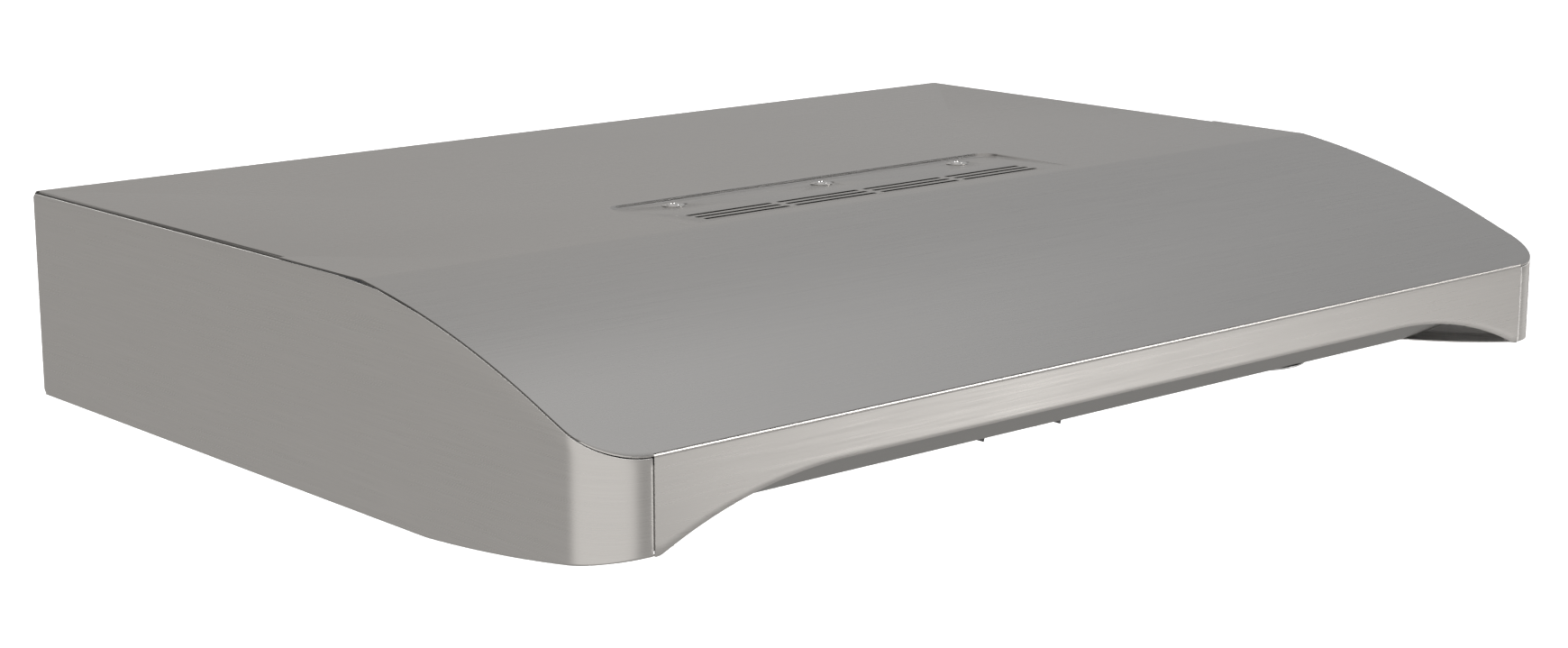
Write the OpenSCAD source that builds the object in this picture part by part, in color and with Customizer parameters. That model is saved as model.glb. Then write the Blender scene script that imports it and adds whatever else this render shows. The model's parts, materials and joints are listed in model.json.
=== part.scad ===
// Under cabinet range hood: a folded sheet-steel canopy with a slim underside.
// Lengths are in millimetres. X runs along the width, +Y points to the wall, +Z is up.
// The origin is on the bottom plane, under the middle of the whole hood with its duct collar.
// Inside the modules Y = 0 is the front face; placed() moves that frame to the origin.

/* [Canopy] */
// Overall width across the side panels
hood_w = 758.8; // [600:0.1:920]
// Depth from the front face to the wall face
hood_d = 554.5; // [480:0.5:680]
// Height from the bottom edge to the flat top
hood_h = 125.7; // [115:0.1:160]
// Thickness of the canopy sheet
sheet = 0.8; // [0.6:0.1:1.2]
// Distance from the front face to the crease where the top starts to fall
crease_y = 199; // [160:1:240]
// Radius of the curved slope in front of the crease
slope_r = 615; // [540:5:760]
// Angle at which the slope leaves the flat top
crease_angle = 7.27; // [4:0.01:10]
// Depth of the straight run at the foot of the slope
front_flat = 52; // [30:1:80]
// Outer radius of the bend between slope and front face
bend_r = 2.5; // [1.5:0.1:4]
// Radius of the two vertical front corners
corner_r = 30; // [20:1:40]
// Gap of the seam between front face and corner
seam_gap = 1; // [0.6:0.1:1.6]
// Distance from the front face to where the cover steps in from the side panels
step_y = 277; // [250:1:320]
// How far the rear part of the cover steps in from the outer faces
step_in = 2; // [1.4:0.1:3]
// Depth of the folded lips under the rear part of the cover
lip_h = 12; // [8:1:20]

/* [Lower edges] */
// Distance from the front face over which the side panels' lower edge rises
rise_y = 148; // [100:1:190]
// Height of the lower edge at the front
rise_h = 17.7; // [10:0.1:24]
// Radius of the rising lower edge
rise_r = 1223; // [900:1:1600]
// Height of the level middle part of the front face's lower edge
arch_z = 44.7; // [36:0.1:50]
// Distance from each outer face to where the arch becomes level
arch_in = 155; // [120:1:200]
// Radius of the arch's two ends
arch_r = 287; // [240:1:330]
// Radius of the small corner at each foot of the arch
arch_fillet = 12; // [6:1:16]
// Width of the flanges folded inwards along the side panels' lower edges
flange_w = 32; // [24:1:40]
// Radius of the side panels' two rear corners
rear_r = 3; // [2:0.5:5]

/* [Vent grille] */
// Width of the shallow recess in the flat top
vent_w = 314; // [260:1:360]
// Distance from the front face to the recess's front end
vent_y0 = 205; // [200:1:215]
// Length of the recess along Y
vent_l = 79; // [70:1:90]
// Depth of the recess at its rear end
vent_drop = 2; // [1.2:0.1:2.6]
// Radius of the recess's rear corners
vent_r = 12; // [6:1:18]
// Number of slots in each row
slot_cols = 4; // [2:1:6]
// Number of rows of slots
slot_rows = 3; // [2:1:3]
// Length of one slot
slot_len = 64; // [40:1:80]
// Width of one slot
slot_w = 3.8; // [3:0.1:3.9]
// Distance between the centres of neighbouring slots in a row
slot_pitch = 69.3; // [50:0.1:90]
// Distance between the rows of slots
row_pitch = 8; // [6:0.5:9]
// Distance from the recess's front end to the first row
row_in = 12.5; // [10:0.5:16]
// Distance from the recess's front end to the row of screws
vent_screw_in = 64; // [58:0.5:68]
// Distance between the screws that hold the blanking plate
vent_screw_pitch = 117; // [90:1:140]

/* [Light panel] */
// Height of the light panel's flat underside
panel_z = 5; // [4:0.5:8]
// Distance from the front face to the light panel's front fold
panel_y0 = 88; // [80:1:100]
// Distance from the front face to the light panel's rear face
panel_y1 = 160; // [155:1:180]
// Height of the upturned rear edge above the underside
panel_lip = 20; // [15:1:24]
// Distance of each lamp from the middle
lamp_x = 235; // [150:1:270]
// Radius of the lamp's hole in the panel
lamp_r = 33; // [25:1:36]
// Distance from the front fold to the lamps' centres
lamp_in = 36; // [34:1:40]
// Distance between the two rocker switches
switch_pitch = 63.6; // [40:0.1:90]
// Sideways place of the middle of the pair of switches
switch_mid = -5.6; // [-20:0.1:20]
// Distance from the front fold to the switches' centres
switch_in = 13; // [12:0.5:20]
// Length of a rocker
rocker_l = 15; // [12:0.5:16]
// Angle by which a rocker leans to either side
rocker_tilt = 12; // [8:1:14]

/* [Filters] */
// Thickness of a grease filter
filter_t = 9; // [8:0.5:12]
// Width of the filter frame's border
filter_border = 12; // [8:1:16]
// Gap between a filter and what stands beside it
filter_gap = 2.5; // [2:0.5:4]
// Height of the filters' undersides
filter_z = 7; // [6:0.5:10]
// Radius of the filter's pivot pins
pivot_r = 2; // [1.5:0.1:2.5]
// Width of the latch tab
latch_w = 28; // [20:1:36]
// Travel of the latch
latch_travel = 6; // [4:0.5:7]

/* [Blower and duct] */
// Width of the duct collar, outside
duct_w = 252; // [220:1:260]
// Height of the duct collar, outside
duct_h = 81; // [70:0.5:84]
// Height of the duct collar's centre line
duct_z = 71.3; // [68:0.1:90]
// Length by which the collar stands out of the wall face
collar_len = 38; // [30:1:60]
// Outer radius of the impeller
fan_r = 92; // [80:1:96]
// Radial width of the impeller's blades
blade_w = 13; // [10:1:16]
// Number of blades
blades = 32; // [24:1:40]
// Distance from the wall face forward to the impeller's axis
fan_back = 209; // [200:1:230]
// Smallest radius of the scroll
scroll_r = 108; // [106:1:112]
// Growth of the scroll's radius in each quarter turn
scroll_step = 14; // [10:1:16]
// Radius of the air inlet
inlet_r = 75; // [60:1:77]
// Radius of the motor's can
motor_r = 48; // [40:1:55]
// Height of the motor's can
motor_h = 44; // [36:1:44]
// Radius of the motor shaft
shaft_r = 4; // [3:0.5:5]

/* [Fixings] */
// Distance between the wall fixing holes across the width
fix_w = 600; // [500:1:640]
// Distance between the wall fixing holes along the height
fix_h = 65; // [50:1:70]
// Height of the lower wall fixing holes
fix_z = 35; // [30:1:45]
// Radius of the wall fixing holes
fix_r = 3.5; // [2.5:0.1:5]
// Radius of the cable knock-out
knockout_r = 11.1; // [8:0.1:12]
// Radius of the small screws' shanks
screw_r = 1.9; // [1.5:0.1:2.2]

/* [Hidden] */
$fn = 96;

// facets of the long shallow arcs, so that their chords stay within 0.02 mm
long_fn = 720;
// play between sheets and pieces that only lie against each other
play = 0.2;
// reach of a cut past the face that it opens
over = 1;

// --- canopy
half_w = hood_w / 2;
inner_x = half_w - sheet;
fascia_x = half_w - corner_r - seam_gap / 2;
corner_x = half_w - corner_r + seam_gap / 2;
slope_cy = crease_y + slope_r * sin(crease_angle);
slope_cz = hood_h - slope_r * cos(crease_angle);
foot_angle = asin((slope_cy - front_flat) / slope_r);
foot_z = slope_cz + slope_r * cos(foot_angle);
edge_z = foot_z - front_flat * tan(foot_angle);
bend_z = edge_z - bend_r * (1 - sin(foot_angle)) / cos(foot_angle);
step_x = half_w - step_in;

// --- lower edge of the side panels: an arc through (0, rise_h) and (rise_y, 0)
rise_chord = sqrt(rise_y * rise_y + rise_h * rise_h);
rise_mid = sqrt(rise_r * rise_r - rise_chord * rise_chord / 4);
rise_cy = rise_y / 2 + rise_mid * rise_h / rise_chord;
rise_cz = rise_h / 2 + rise_mid * rise_y / rise_chord;

// --- arch of the front face
arch_x = half_w - arch_in;
arch_cz = arch_z - arch_r;
fillet_z = rise_h + arch_fillet;
fillet_dx = sqrt(pow(arch_r + arch_fillet, 2) - pow(fillet_z - arch_cz, 2));
foot_dx = sqrt(arch_r * arch_r - pow(rise_h - arch_cz, 2));

// --- rear panel and duct
rear_in = hood_d - sheet;
duct_in_w = duct_w - 2 * sheet;
duct_in_h = duct_h - 2 * sheet;
collar_flange = 12;
cable_x = -220;
cable_z = 85;
rear_flange = 15;
rear_screw_x = half_w - 8;
rear_screw_z = [25, 62, 98];

// --- light panel
panel_x = half_w - flange_w - sheet;
panel_top = arch_z + 1.3;
panel_notch_x = panel_x - 17;
lip_y = sheet + play + sheet / 2;
lip_top = edge_z - 8;
lamp_y = panel_y0 + lamp_in;
lamp_neck = lamp_r - 0.5;
lens_r = lamp_neck - 2.6;
switch_y = panel_y0 + switch_in;
pivot_z = panel_z + 1.5;
rocker_w = 10.8;
cavity_l = rocker_l + 2;
cavity_w = rocker_w + 0.6;
bracket_z = panel_z + 19;
bracket_y = panel_y1 - 55;
bracket_l = 45;

// --- filters
rail_x = panel_x - 4.6;
rail_half = 1.5;
filter_x0 = rail_half + filter_gap;
filter_x1 = rail_x - filter_gap;
filter_y0 = panel_y1 + 3;
rail_rear_y = hood_d - 27;
filter_y1 = rail_rear_y - 3.5;
filter_cx = (filter_x0 + filter_x1) / 2;
filter_mid_z = filter_z + filter_t / 2;
filter_pivot_y = filter_y1 - 5;
latch_z0 = filter_mid_z - 2;
latch_t = 3;
tongue = 4.8;
latch_y1 = filter_y0 + filter_border + 11;
guide_x = latch_w / 2 + 1;
rail_top = 24;

// --- blower
fan_x = duct_in_w / 2 - scroll_step / 2 - scroll_r - 2 * scroll_step;
fan_y = hood_d - fan_back;
scroll_z0 = duct_z - duct_in_h / 2;
scroll_z1 = duct_z + duct_in_h / 2;
scroll_cx = fan_x - scroll_step / 2;
scroll_cy = fan_y - scroll_step / 2;
gasket_t = 3;
scroll_end = rear_in - gasket_t;
tongue_pt = [scroll_cx + scroll_r * cos(60), scroll_cy + scroll_r * sin(60)];
flare_pt = [-duct_in_w / 2, scroll_end - 16];
fan_z0 = scroll_z0 + 5;
fan_z1 = scroll_z1 - 5;
fan_disc_z = fan_z0 + 24;
disc_t = 1.5;
shaft_fit = 0.05;
hanger_y = [vent_y0 + vent_l + 16, hood_d - 84];
hanger_x0 = fan_x - 104;
hanger_x1 = fan_x + 132;
hanger_foot = 12;
hanger_screw_x = [fan_x - 72, fan_x + 98];
guard_wire = 1.2;

// --- damper
damper_y = hood_d + 10;
damper_z = scroll_z1 - 5;
damper_rod_r = 1.5;

// --- vent blanking plate and its screws
vent_floor_angle = atan(vent_drop / vent_l);
vent_plate_z = hood_h - vent_drop - 2 * sheet - 1.7;
vent_screw_x = [for (i = [-1:1]) i * vent_screw_pitch];
vent_screw_y = vent_y0 + vent_screw_in;
vent_screw_z = hood_h - vent_screw_in * tan(vent_floor_angle);
vent_screw_r = 2;

// --- wiring box
box_x0 = cable_x - 40;
box_x1 = cable_x + 40;
box_y0 = hood_d - 94;
box_z0 = 62;
box_z1 = hood_h - 7.7;

// --- cable runs: radius, sides of the outline, and a direction that no run follows
wire_r = 2.5;
cable_sides = 8;
cable_up = [1, 0.37, 0.21];

// --- colours
steel = [0.70, 0.69, 0.67];
dark_steel = [0.46, 0.46, 0.45];
zinc = [0.62, 0.63, 0.64];
bare_aluminium = [0.74, 0.75, 0.76];
black_plastic = [0.08, 0.08, 0.09];
white_plastic = [0.88, 0.88, 0.86];

// ---------------------------------------------------------------- helpers

module placed() translate([0, -(hood_d + collar_len) / 2, 0]) children();

// a (y, z) outline carried along X
module along_x(x0, x1) translate([x0, 0, 0]) rotate([90, 0, 90]) linear_extrude(x1 - x0) children();

// an (x, z) outline carried along Y
module along_y(y0, y1) translate([0, y1, 0]) rotate([90, 0, 0]) linear_extrude(y1 - y0) children();

// an (x, y) outline carried along Z
module along_z(z0, z1) translate([0, 0, z0]) linear_extrude(z1 - z0) children();

module block(x, y, z) translate([x[0], y[0], z[0]]) cube([x[1] - x[0], y[1] - y[0], z[1] - z[0]]);

module both_sides() {
    children();
    mirror([1, 0, 0]) children();
}

module rod_x(r, x0, x1, y, z) translate([x0, y, z]) rotate([0, 90, 0]) cylinder(h = x1 - x0, r = r);

module rod_y(r, x, y0, y1, z) translate([x, y1, z]) rotate([90, 0, 0]) cylinder(h = y1 - y0, r = r);

// a flat strip of the sheet's thickness between two points of an outline, with round ends
module strip(p, q) {
    run = norm(q - p);
    dir = atan2(q[1] - p[1], q[0] - p[0]);
    translate(p) rotate(dir) translate([0, -sheet / 2]) square([run, sheet]);
    translate(p) circle(sheet / 2);
    translate(q) circle(sheet / 2);
}

// ---------------------------------------------------------------- outlines

// what lies under the top surface, seen from the side: o is how far under it
module under_top(o, y0) {
    r = slope_r - o;
    foot = [slope_cy - r * sin(foot_angle), slope_cz + r * cos(foot_angle)];
    far = slope_r * 1.2;
    intersection() {
        translate([y0, 0]) square([hood_d - y0, hood_h]);
        union() {
            polygon([[crease_y, 0], [hood_d, 0], [hood_d, hood_h - o], [crease_y, hood_h - o]]);
            polygon([[y0, 0], [y0, foot[1] - (foot[0] - y0) * tan(foot_angle)], foot, [slope_cy, 0]]);
            intersection() {
                translate([slope_cy, slope_cz]) circle(r, $fn = long_fn);
                translate([slope_cy, slope_cz]) polygon([
                    [0, 0],
                    far * [-sin(foot_angle), cos(foot_angle)],
                    far * [-sin(crease_angle), cos(crease_angle)]]);
            }
        }
    }
}

// the same with the bend down to the front face
module under_bent_top(o) {
    difference() {
        under_top(o, o);
        difference() {
            translate([bend_r, bend_z]) polygon([
                [0, 0], [-bend_r - over, 0], [-bend_r - over, 3 * bend_r],
                3 * bend_r * [-sin(foot_angle), cos(foot_angle)]]);
            translate([bend_r, bend_z]) circle(bend_r - o);
        }
    }
}

// plan of the canopy's outer face moved in by o: straight rear, two round front corners
module canopy_plan(o) {
    x = half_w - o;
    r = corner_r - o;
    translate([-x, corner_r]) square([2 * x, hood_d - corner_r]);
    translate([-x + r, o]) square([2 * (x - r), corner_r]);
    translate([x - r, corner_r]) circle(r);
    translate([-x + r, corner_r]) circle(r);
}

// what lies above the side panels' lower edge: o is how far above it
module above_edge(o) {
    translate([rise_y, o]) square([hood_d - rise_y, hood_h]);
    intersection() {
        translate([rise_cy, rise_cz]) circle(rise_r - o, $fn = long_fn);
        square([rise_y, hood_h]);
    }
}

module side_outline() {
    difference() {
        intersection() {
            under_top(sheet, 0);
            above_edge(0);
        }
        for (z = [0, hood_h - sheet]) rear_corner(z, z > 0 ? -1 : 1);
    }
}

// the spandrel that rounds one rear corner of a side panel
module rear_corner(z, up) {
    translate([hood_d, z]) scale([1, up]) difference() {
        translate([-rear_r, -over]) square([rear_r + over, rear_r + over]);
        translate([-rear_r, rear_r]) circle(rear_r);
    }
}

// the opening under the front face
module arch() {
    difference() {
        union() {
            translate([-arch_x, arch_cz]) square([2 * arch_x, arch_r]);
            for (s = [-1, 1]) translate([s * arch_x, arch_cz]) circle(arch_r, $fn = long_fn);
        }
        translate([-half_w - arch_r, arch_cz - arch_r - over])
            square([hood_w + 2 * arch_r, arch_r - arch_cz + rise_h]);
    }
}

// the sliver cut from each foot of the arch to round it
module arch_foot() {
    x = arch_x + fillet_dx;
    t = arch_r / (arch_r + arch_fillet);
    difference() {
        polygon([
            [x, rise_h - over],
            [x, fillet_z],
            [arch_x + fillet_dx * t, arch_cz + (fillet_z - arch_cz) * t],
            [arch_x + foot_dx - over, rise_h - over]]);
        translate([x, fillet_z]) circle(arch_fillet);
    }
}

// the vent recess moved out by o
module vent_plan(o) {
    x = vent_w / 2 + o;
    r = vent_r + o;
    y1 = vent_y0 + vent_l + o;
    translate([-x, vent_y0]) square([2 * x, vent_l + o - r]);
    translate([-x + r, vent_y0]) square([2 * (x - r), vent_l + o]);
    for (s = [-1, 1]) translate([s * (x - r), y1 - r]) circle(r);
}

module vent_slots() {
    for (i = [0:slot_cols - 1], j = [0:slot_rows - 1])
        translate([(i - (slot_cols - 1) / 2) * slot_pitch, vent_y0 + row_in + j * row_pitch]) {
            square([slot_len - slot_w, slot_w], center = true);
            for (s = [-1, 1]) translate([s * (slot_len - slot_w) / 2, 0]) circle(slot_w / 2);
        }
}

// plan of the scroll, its wall's outer face moved in by o
module scroll_plan(o) {
    cx = scroll_cx + scroll_step;
    r2 = scroll_r + scroll_step;
    r3 = r2 + scroll_step;
    d = flare_pt - tongue_pt;
    n = [d[1], -d[0]] / norm(d);
    left = -duct_w / 2 + o;
    lean = o / abs(n[0]);
    translate([scroll_cx, scroll_cy]) circle(scroll_r - o);
    intersection() {
        translate([cx, scroll_cy]) circle(r2 - o);
        translate([cx - r2, scroll_cy - r2]) square([r2, r2]);
    }
    intersection() {
        translate([cx, scroll_cy + scroll_step]) circle(r3 - o);
        translate([cx, scroll_cy + scroll_step - r3]) square([r3, r3]);
    }
    difference() {
        polygon([
            [cx, scroll_cy], [cx + r3 - o, scroll_cy + scroll_step], [cx + r3 - o, scroll_end],
            [left, scroll_end], [left, flare_pt[1]], [tongue_pt[0] + lean, tongue_pt[1]],
            [scroll_cx, scroll_cy]]);
        if (o > 0) polygon([
            [left, flare_pt[1]], [left, flare_pt[1] - 60], tongue_pt,
            [tongue_pt[0] + lean, tongue_pt[1]]]);
    }
}

// ---------------------------------------------------------------- canopy

module canopy_cover() color(steel) placed() {
    difference() {
        union() {
            // front face, bend and slope between the two seams
            along_x(-fascia_x, fascia_x) difference() {
                under_bent_top(0);
                under_bent_top(sheet);
                square([crease_y, rise_h]);
            }
            // the slope and the flat top reach over the round corners
            intersection() {
                along_x(-half_w, half_w) difference() {
                    under_top(0, -over);
                    under_top(sheet, -over);
                }
                difference() {
                    along_z(0, hood_h + over) canopy_plan(0);
                    block([-fascia_x, fascia_x], [-over, 3 * bend_r], [0, hood_h]);
                }
            }
            // folded lips along the stepped-in rear part
            both_sides() block([step_x - sheet, step_x], [step_y, rear_in - sheet - over],
                [hood_h - lip_h, hood_h - sheet]);
            vent_tray();
        }
        along_y(-over, 3 * bend_r) {
            arch();
            arch_foot();
            mirror([1, 0]) arch_foot();
        }
        both_sides() block([step_x, half_w + over], [step_y, hood_d + over], [0, hood_h + over]);
        // hollow of the recess
        intersection() {
            along_z(0, hood_h + over) vent_plan(0);
            along_x(-vent_w, vent_w) polygon([
                [vent_y0, hood_h], [vent_y0, hood_h + over],
                [vent_y0 + vent_l + over, hood_h + over],
                [vent_y0 + vent_l + over, hood_h - (vent_l + over) * tan(vent_floor_angle)]]);
        }
        along_z(hood_h - 3 * vent_drop, hood_h + over) {
            vent_slots();
            for (x = vent_screw_x) translate([x, vent_screw_y]) circle(vent_screw_r + 0.5);
        }
    }
}

// the pressed floor and walls around the vent recess
module vent_tray() {
    intersection() {
        along_z(0, hood_h) vent_plan(sheet);
        along_x(-vent_w, vent_w) polygon([
            [vent_y0, hood_h - sheet], [vent_y0, hood_h],
            [vent_y0 + vent_l + sheet, hood_h],
            [vent_y0 + vent_l + sheet, hood_h - vent_drop - sheet]]);
    }
}

module side_panel() placed() {
    difference() {
        union() {
            intersection() {
                along_x(corner_x, half_w) side_outline();
                along_z(0, hood_h) difference() {
                    canopy_plan(0);
                    canopy_plan(sheet);
                }
            }
            // flange folded inwards along the lower edge
            intersection() {
                along_x(half_w - flange_w, half_w) difference() {
                    intersection() {
                        above_edge(0);
                        square([rear_in - sheet, hood_h]);
                    }
                    above_edge(sheet);
                }
                along_z(0, hood_h) canopy_plan(sheet + play);
            }
            // web of the fold that joins the flange to the wall
            intersection() {
                along_x(inner_x - 2 * play, half_w - play / 2) difference() {
                    intersection() {
                        above_edge(0);
                        square([rear_in - sheet, hood_h]);
                    }
                    above_edge(sheet);
                }
                along_z(0, hood_h) canopy_plan(play / 2);
                block([0, half_w], [corner_r, hood_d], [0, hood_h]);
            }
            // flange that the rear panel is screwed to
            block([half_w - rear_flange, inner_x], [rear_in - sheet, rear_in],
                [rear_r + 1, hood_h - lip_h - 2]);
        }
        for (z = rear_screw_z) rod_y(screw_r + 0.1, rear_screw_x, rear_in - 2 * sheet, hood_d, z);
    }
}

module side_panel_left() color(steel) mirror([1, 0, 0]) side_panel();
module side_panel_right() color(steel) side_panel();

module rear_panel() color(steel) placed() {
    difference() {
        union() {
            block([-inner_x + play, inner_x - play], [rear_in, hood_d], [0, hood_h - sheet]);
            block([-step_x + 2 * sheet, step_x - 2 * sheet], [hood_d - 12, rear_in],
                [hood_h - 2 * sheet, hood_h - sheet]);
            block([-half_w + flange_w + 0.5, half_w - flange_w - 0.5], [hood_d - 22, rear_in],
                [0, sheet]);
        }
        block([-duct_in_w / 2, duct_in_w / 2], [rear_in - over, hood_d + over],
            [scroll_z0, scroll_z1]);
        for (sx = [-1, 1], z = [fix_z, fix_z + fix_h])
            rod_y(fix_r, sx * fix_w / 2, rear_in - over, hood_d + over, z);
        rod_y(knockout_r, cable_x, rear_in - over, hood_d + over, cable_z);
        for (sx = [-1, 1], z = rear_screw_z)
            rod_y(screw_r + 0.1, sx * rear_screw_x, rear_in - over, hood_d + over, z);
        connector_holes(screw_r + 0.1, rear_in - over, hood_d + over);
    }
}

// curved plate behind the seam between front face and corner
module corner_backer() placed() intersection() {
    along_z(rise_h + 3, edge_z - 5) difference() {
        canopy_plan(sheet + play / 2);
        canopy_plan(2 * sheet + play / 2);
    }
    block([fascia_x - 12, corner_x + 12], [0, corner_r], [0, hood_h]);
}

module corner_backer_left() color(dark_steel) mirror([1, 0, 0]) corner_backer();
module corner_backer_right() color(dark_steel) corner_backer();

// ---------------------------------------------------------------- light panel

module light_panel() color(dark_steel) placed() {
    z = panel_z + sheet / 2;
    y1 = panel_y1 + sheet / 2;
    wall_top = panel_z + panel_lip;
    slope = (panel_top - z) / (panel_y0 - lip_y);
    difference() {
        union() {
            along_x(-panel_x, panel_x) {
                strip([lip_y, lip_top], [lip_y, panel_top]);
                strip([lip_y, panel_top], [panel_y0, z]);
                strip([panel_y0, z], [y1, z]);
                strip([y1, z], [y1, wall_top]);
            }
            both_sides() along_x(panel_x - sheet, panel_x) polygon([
                [panel_y0, z], [y1, z], [y1, wall_top],
                [panel_y0 - (wall_top - z) / slope, wall_top]]);
        }
        both_sides() block([panel_notch_x, half_w], [0, 10], [0, hood_h]);
        for (sx = [-1, 1]) translate([sx * lamp_x, lamp_y, 0]) cylinder(h = panel_z + 2, r = lamp_r);
        for (s = [-1, 1]) translate([switch_mid + s * switch_pitch / 2, switch_y, panel_z])
            cube([cavity_l + 2, cavity_w + 1.4, 4], center = true);
        both_sides() block([filter_cx - guide_x, filter_cx + guide_x],
            [panel_y1 - over, panel_y1 + 2], [latch_z0 - 0.5, latch_z0 + latch_t + 0.5]);
        panel_screw_holes();
    }
}

module panel_screw_holes() {
    for (s = [-1, 1], y = [bracket_y + 10, bracket_y + bracket_l - 10])
        rod_x(screw_r + 0.1, s * panel_x - 3, s * panel_x + 3, y, bracket_z - 8);
}

// bracket that carries one end of the light panel on the side panel
module light_bracket() placed() difference() {
    union() {
        block([panel_x + play / 2, panel_x + play / 2 + sheet],
            [bracket_y, bracket_y + bracket_l], [bracket_z - 15, bracket_z]);
        block([panel_x + play / 2, inner_x - play / 2],
            [bracket_y, bracket_y + bracket_l], [bracket_z, bracket_z + sheet]);
        block([inner_x - play / 2 - sheet, inner_x - play / 2],
            [bracket_y, bracket_y + bracket_l], [bracket_z - 14, bracket_z]);
    }
    panel_screw_holes();
}

module light_bracket_left() color(zinc) mirror([1, 0, 0]) light_bracket();
module light_bracket_right() color(zinc) light_bracket();

// trim ring with a neck through the panel
module lamp_bezel() placed() translate([lamp_x, lamp_y, 0]) rotate_extrude() {
    polygon([
        [lens_r + 0.1, panel_z - 1.2], [lamp_r + 4.4, panel_z - 1.2], [lamp_r + 5, panel_z - 0.6],
        [lamp_r + 5, panel_z], [lamp_neck, panel_z], [lamp_neck, panel_z + 11],
        [lens_r + 0.1, panel_z + 11]]);
}

module lamp_bezel_left() color(zinc) mirror([1, 0, 0]) lamp_bezel();
module lamp_bezel_right() color(zinc) lamp_bezel();

module lamp_lens() placed() translate([lamp_x, lamp_y, panel_z - 0.4]) cylinder(h = 2.5, r = lens_r);

module lamp_lens_left() color(white_plastic) mirror([1, 0, 0]) lamp_lens();
module lamp_lens_right() color(white_plastic) lamp_lens();

// light source with a finned back
module lamp_module() placed() translate([lamp_x, lamp_y, panel_z + 11]) {
    cylinder(h = 10, r = lamp_neck);
    translate([0, 0, 10]) cylinder(h = 2, r = lamp_neck * 0.8);
    for (i = [-3:3]) translate([i * 6, 0, 14]) cube([1.6, lamp_neck, 6], center = true);
}

module lamp_module_left() color(bare_aluminium) mirror([1, 0, 0]) lamp_module();
module lamp_module_right() color(bare_aluminium) lamp_module();

// ---------------------------------------------------------------- switches

// housing of one rocker switch, with its frame under the panel and blades on top
module switch_body(side) placed()
    translate([switch_mid + side * switch_pitch / 2, switch_y, panel_z]) difference() {
        union() {
            translate([0, 0, -0.75]) cube([cavity_l + 4, cavity_w + 3.6, 1.5], center = true);
            translate([0, 0, 9.5]) cube([cavity_l + 1.6, cavity_w + 1.2, 19], center = true);
            for (i = [-1, 1]) translate([i * 5, 0, 22]) cube([0.8, 6, 6], center = true);
        }
        translate([0, 0, 4]) cube([cavity_l, cavity_w, 12], center = true);
        rotate([90, 0, 0]) translate([0, pivot_z - panel_z, 0])
            cylinder(h = cavity_w + 0.8, r = 1.25, center = true);
    }

module switch_body_light() color(black_plastic) switch_body(-1);
module switch_body_fan() color(black_plastic) switch_body(1);

// rocker with two trunnions, leaning to its right-hand side
module rocker(side) placed()
    translate([switch_mid + side * switch_pitch / 2, switch_y, pivot_z]) rotate([0, rocker_tilt, 0]) {
        rotate([90, 0, 0]) translate([0, 0, -rocker_w / 2]) linear_extrude(rocker_w) polygon([
            [-rocker_l / 2 + 0.4, -5.1], [0, -3.9], [rocker_l / 2 - 0.4, -5.1], [rocker_l / 2, -2.4],
            [rocker_l * 0.3, 2.2], [-rocker_l * 0.3, 2.2], [-rocker_l / 2, -2.4]]);
        rotate([90, 0, 0]) cylinder(h = cavity_w + 0.6, r = 1.2, center = true);
    }

module rocker_light() color(black_plastic) rocker(-1);
module rocker_fan() color(black_plastic) rocker(1);

// ---------------------------------------------------------------- filters

// folded channel around the mesh, with pivot pins at the rear and guides for the latch
module filter_frame() placed() {
    difference() {
        union() {
            block([filter_x0, filter_x1], [filter_y0, filter_y1], [filter_z, filter_z + filter_t]);
            rod_x(pivot_r, filter_x0 - filter_gap + 0.5, filter_x0 + over, filter_pivot_y,
                filter_mid_z);
            rod_x(pivot_r, filter_x1 - over, filter_x1 + filter_gap + sheet / 2, filter_pivot_y,
                filter_mid_z);
        }
        block([filter_x0 + sheet, filter_x1 - sheet], [filter_y0 + sheet, filter_y1 - sheet],
            [filter_z + sheet, filter_z + filter_t - sheet]);
        block([filter_x0 + filter_border, filter_x1 - filter_border],
            [filter_y0 + filter_border, filter_y1 - filter_border],
            [filter_z - over, filter_z + filter_t + over]);
        block([filter_cx - guide_x, filter_cx + guide_x], [filter_y0 - over, filter_y0 + 2],
            [latch_z0 - 0.5, latch_z0 + latch_t + 0.5]);
    }
    for (s = [-1, 1]) translate([filter_cx + s * (guide_x + 1.5), 0, 0])
        block([-1.5, 1.5], [filter_y0 + sheet / 2, latch_y1 + latch_travel + 2],
            [filter_z + sheet / 2, filter_z + filter_t - sheet / 2]);
}

module filter_frame_left() color(bare_aluminium) mirror([1, 0, 0]) filter_frame();
module filter_frame_right() color(bare_aluminium) filter_frame();

// three layers of expanded mesh, cut back around the latch
module filter_mesh() placed() difference() {
    for (i = [0:2]) translate([0, 0, filter_z + sheet + 0.3 + i * (filter_t - 2 * sheet - 1.4) / 2])
        block([filter_x0 + 2 * sheet, filter_x1 - 2 * sheet],
            [filter_y0 + 2 * sheet, filter_y1 - 2 * sheet], [0, 0.8]);
    block([filter_cx - guide_x - 3.5, filter_cx + guide_x + 3.5],
        [filter_y0, latch_y1 + latch_travel + 3], [0, hood_h]);
}

module filter_mesh_left() color(bare_aluminium) mirror([1, 0, 0]) filter_mesh();
module filter_mesh_right() color(bare_aluminium) filter_mesh();

// sliding tab whose tongue reaches through the light panel's rear edge
module latch() placed() {
    block([filter_cx - latch_w / 2, filter_cx + latch_w / 2], [filter_y0 - tongue, latch_y1],
        [latch_z0, latch_z0 + latch_t]);
    block([filter_cx - latch_w / 2 + 2, filter_cx + latch_w / 2 - 2], [latch_y1 - 8, latch_y1],
        [filter_z - 2.5, latch_z0]);
}

module latch_left() color(black_plastic) mirror([1, 0, 0]) latch();
module latch_right() color(black_plastic) latch();

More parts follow.
